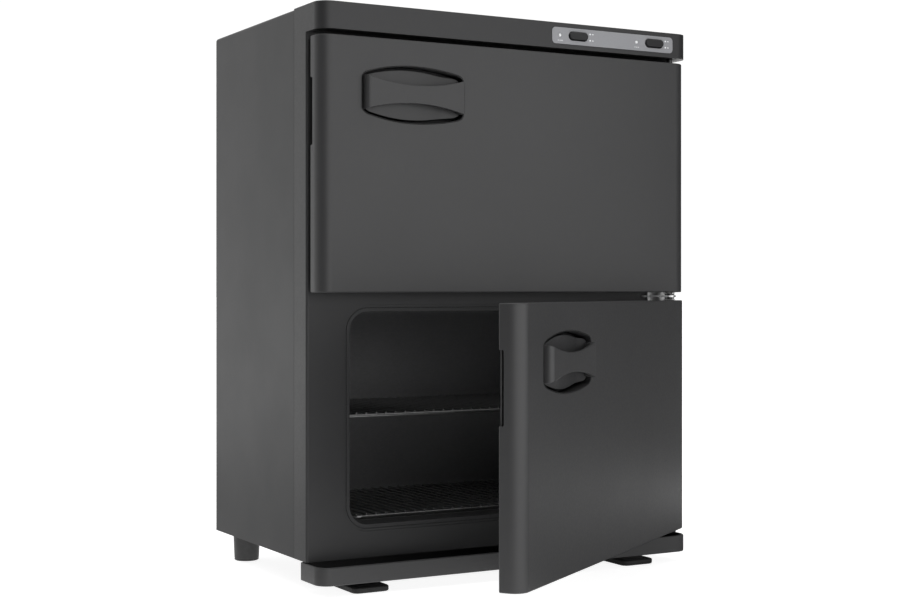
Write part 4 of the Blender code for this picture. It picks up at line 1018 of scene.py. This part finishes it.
def stage_material(name, grey, glow):
    """Matt floor or card; a glow lifts the floor, so that it stays light far from the lamps."""
    n = Nodes(name)
    color = (grey, grey, grey)
    tone = n.blend(n.spread(n.noise(3.0, 3.0), 0.0, 1.0), color, shade(color, 0.99))
    return n.paint({"Base Color": tone, "Roughness": 0.9, "Specular IOR Level": 0.1,
                    "Emission Color": (1, 1, 1, 1), "Emission Strength": glow})


def make_floor():
    shape = bmesh.new()
    bmesh.ops.create_circle(shape, cap_ends=True, segments=96, radius=60)
    floor = from_bmesh("studio_floor", shape)
    if floor.data.polygons[0].normal.z < 0:
        floor.data.flip_normals()
    floor.data.materials.append(stage_material("studio_floor_look", FLOOR_GREY, FLOOR_GLOW))


def make_flag(side, across, front, back, foot, foot_back, foot_grey):
    """A dark card beside the cabinet and a foot from it on the floor, both unseen by the camera.

    The card stands at across, from front to back, and keeps the floor's glare off the cabinet. Its foot
    reaches to foot and back to foot_back, and only reflections see it.
    """
    thickness, clear, top, corner = 10 * MM, 40 * MM, 900 * MM, 50 * MM
    card = prism(side + "_studio_flag", rounded_rectangle((front, clear), (back, top), corner),
                 -thickness / 2, thickness / 2)
    card.data.transform(Matrix.Translation((across, 0, 0)) @ Matrix.Rotation(pi / 2, 4, "Z"))
    low, high = sorted((across, foot))
    flat = prism(side + "_studio_flag_foot", rounded_rectangle((low, -foot_back), (high, -front), corner),
                 1 * MM, 3 * MM)
    flat.data.transform(Matrix.Rotation(pi / 2, 4, "X"))
    flat.visible_diffuse = flat.visible_shadow = False
    for piece, grey in ((card, CARD_GREY), (flat, foot_grey)):
        piece.visible_camera = False
        piece.data.materials.append(stage_material(piece.name + "_look", grey, 0.0))


def make_world():
    """White surroundings for the camera, and a softer room with two shaded sides for the object."""
    world = bpy.data.worlds.new("studio")
    bpy.context.scene.world = world
    world.use_nodes = True
    tree = world.node_tree
    tree.nodes.clear()
    around = add_node(tree, "ShaderNodeTexCoord").outputs["Generated"]
    light = ROOM_LIGHT
    for towards, (start, full), share in SHADED_SIDES:
        lean = add_node(tree, "ShaderNodeVectorMath", {0: around, 1: Vector(towards).normalized()},
                        operation="DOT_PRODUCT")
        lit = add_node(tree, "ShaderNodeMapRange",
                       {"Value": lean.outputs["Value"], "From Min": start, "From Max": full,
                        "To Min": 1.0, "To Max": 1.0 - share}, interpolation_type="SMOOTHSTEP")
        light = add_node(tree, "ShaderNodeMath", {0: lit.outputs["Result"], 1: light},
                         operation="MULTIPLY").outputs[0]
    white = (1, 1, 1, 1)
    room = add_node(tree, "ShaderNodeBackground", {"Color": white, "Strength": light})
    seen = add_node(tree, "ShaderNodeBackground", {"Color": white, "Strength": SEEN_LIGHT})
    mix = add_node(tree, "ShaderNodeMixShader",
                   {"Fac": add_node(tree, "ShaderNodeLightPath").outputs["Is Camera Ray"],
                    1: room.outputs["Background"], 2: seen.outputs["Background"]})
    add_node(tree, "ShaderNodeOutputWorld", {"Surface": mix.outputs["Shader"]})


def make_lights():
    """Soft boxes, all turned to the cabinet's middle."""
    middle = Vector((0, 0, 0.3))
    for name, (place, size, power) in SOFTBOXES.items():
        light = bpy.data.lights.new(name, "AREA")
        light.shape = "RECTANGLE"
        light.size, light.size_y = size
        light.energy = power
        made = new_object(name, light)
        made.location = place
        made.rotation_euler = (middle - Vector(place)).to_track_quat("-Z", "Y").to_euler()


def make_camera():
    """Level camera to the left of the cabinet's front."""
    data = bpy.data.cameras.new("camera")
    data.sensor_width = 36
    data.lens = 63.58
    data.shift_y = -0.0117
    camera = new_object("camera", data)
    camera.location = (-0.87099, -1.44028, 0.30289)
    camera.rotation_euler = (pi / 2, 0, -radians(29.2045))
    bpy.context.scene.camera = camera
    bpy.context.scene.view_settings.view_transform = "Standard"


make_camera()
make_world()
make_lights()
make_floor()
make_flag("right", across=0.60, front=-0.56, back=0.15, foot=0.0, foot_back=0.15, foot_grey=0.02)
make_flag("left", across=-0.80, front=-1.2, back=0.0, foot=-0.26, foot_back=1.3, foot_grey=0.9)
make_bezel()
make_wrap()
make_back()
make_chambers()
make_racks()
for door, door_place in DOORS.items():
    make_door(door, door_place)
make_tray()
make_controls()
make_feet()
make_small_parts()
paint_hidden_nodes()

bpy.context.view_layer.update()
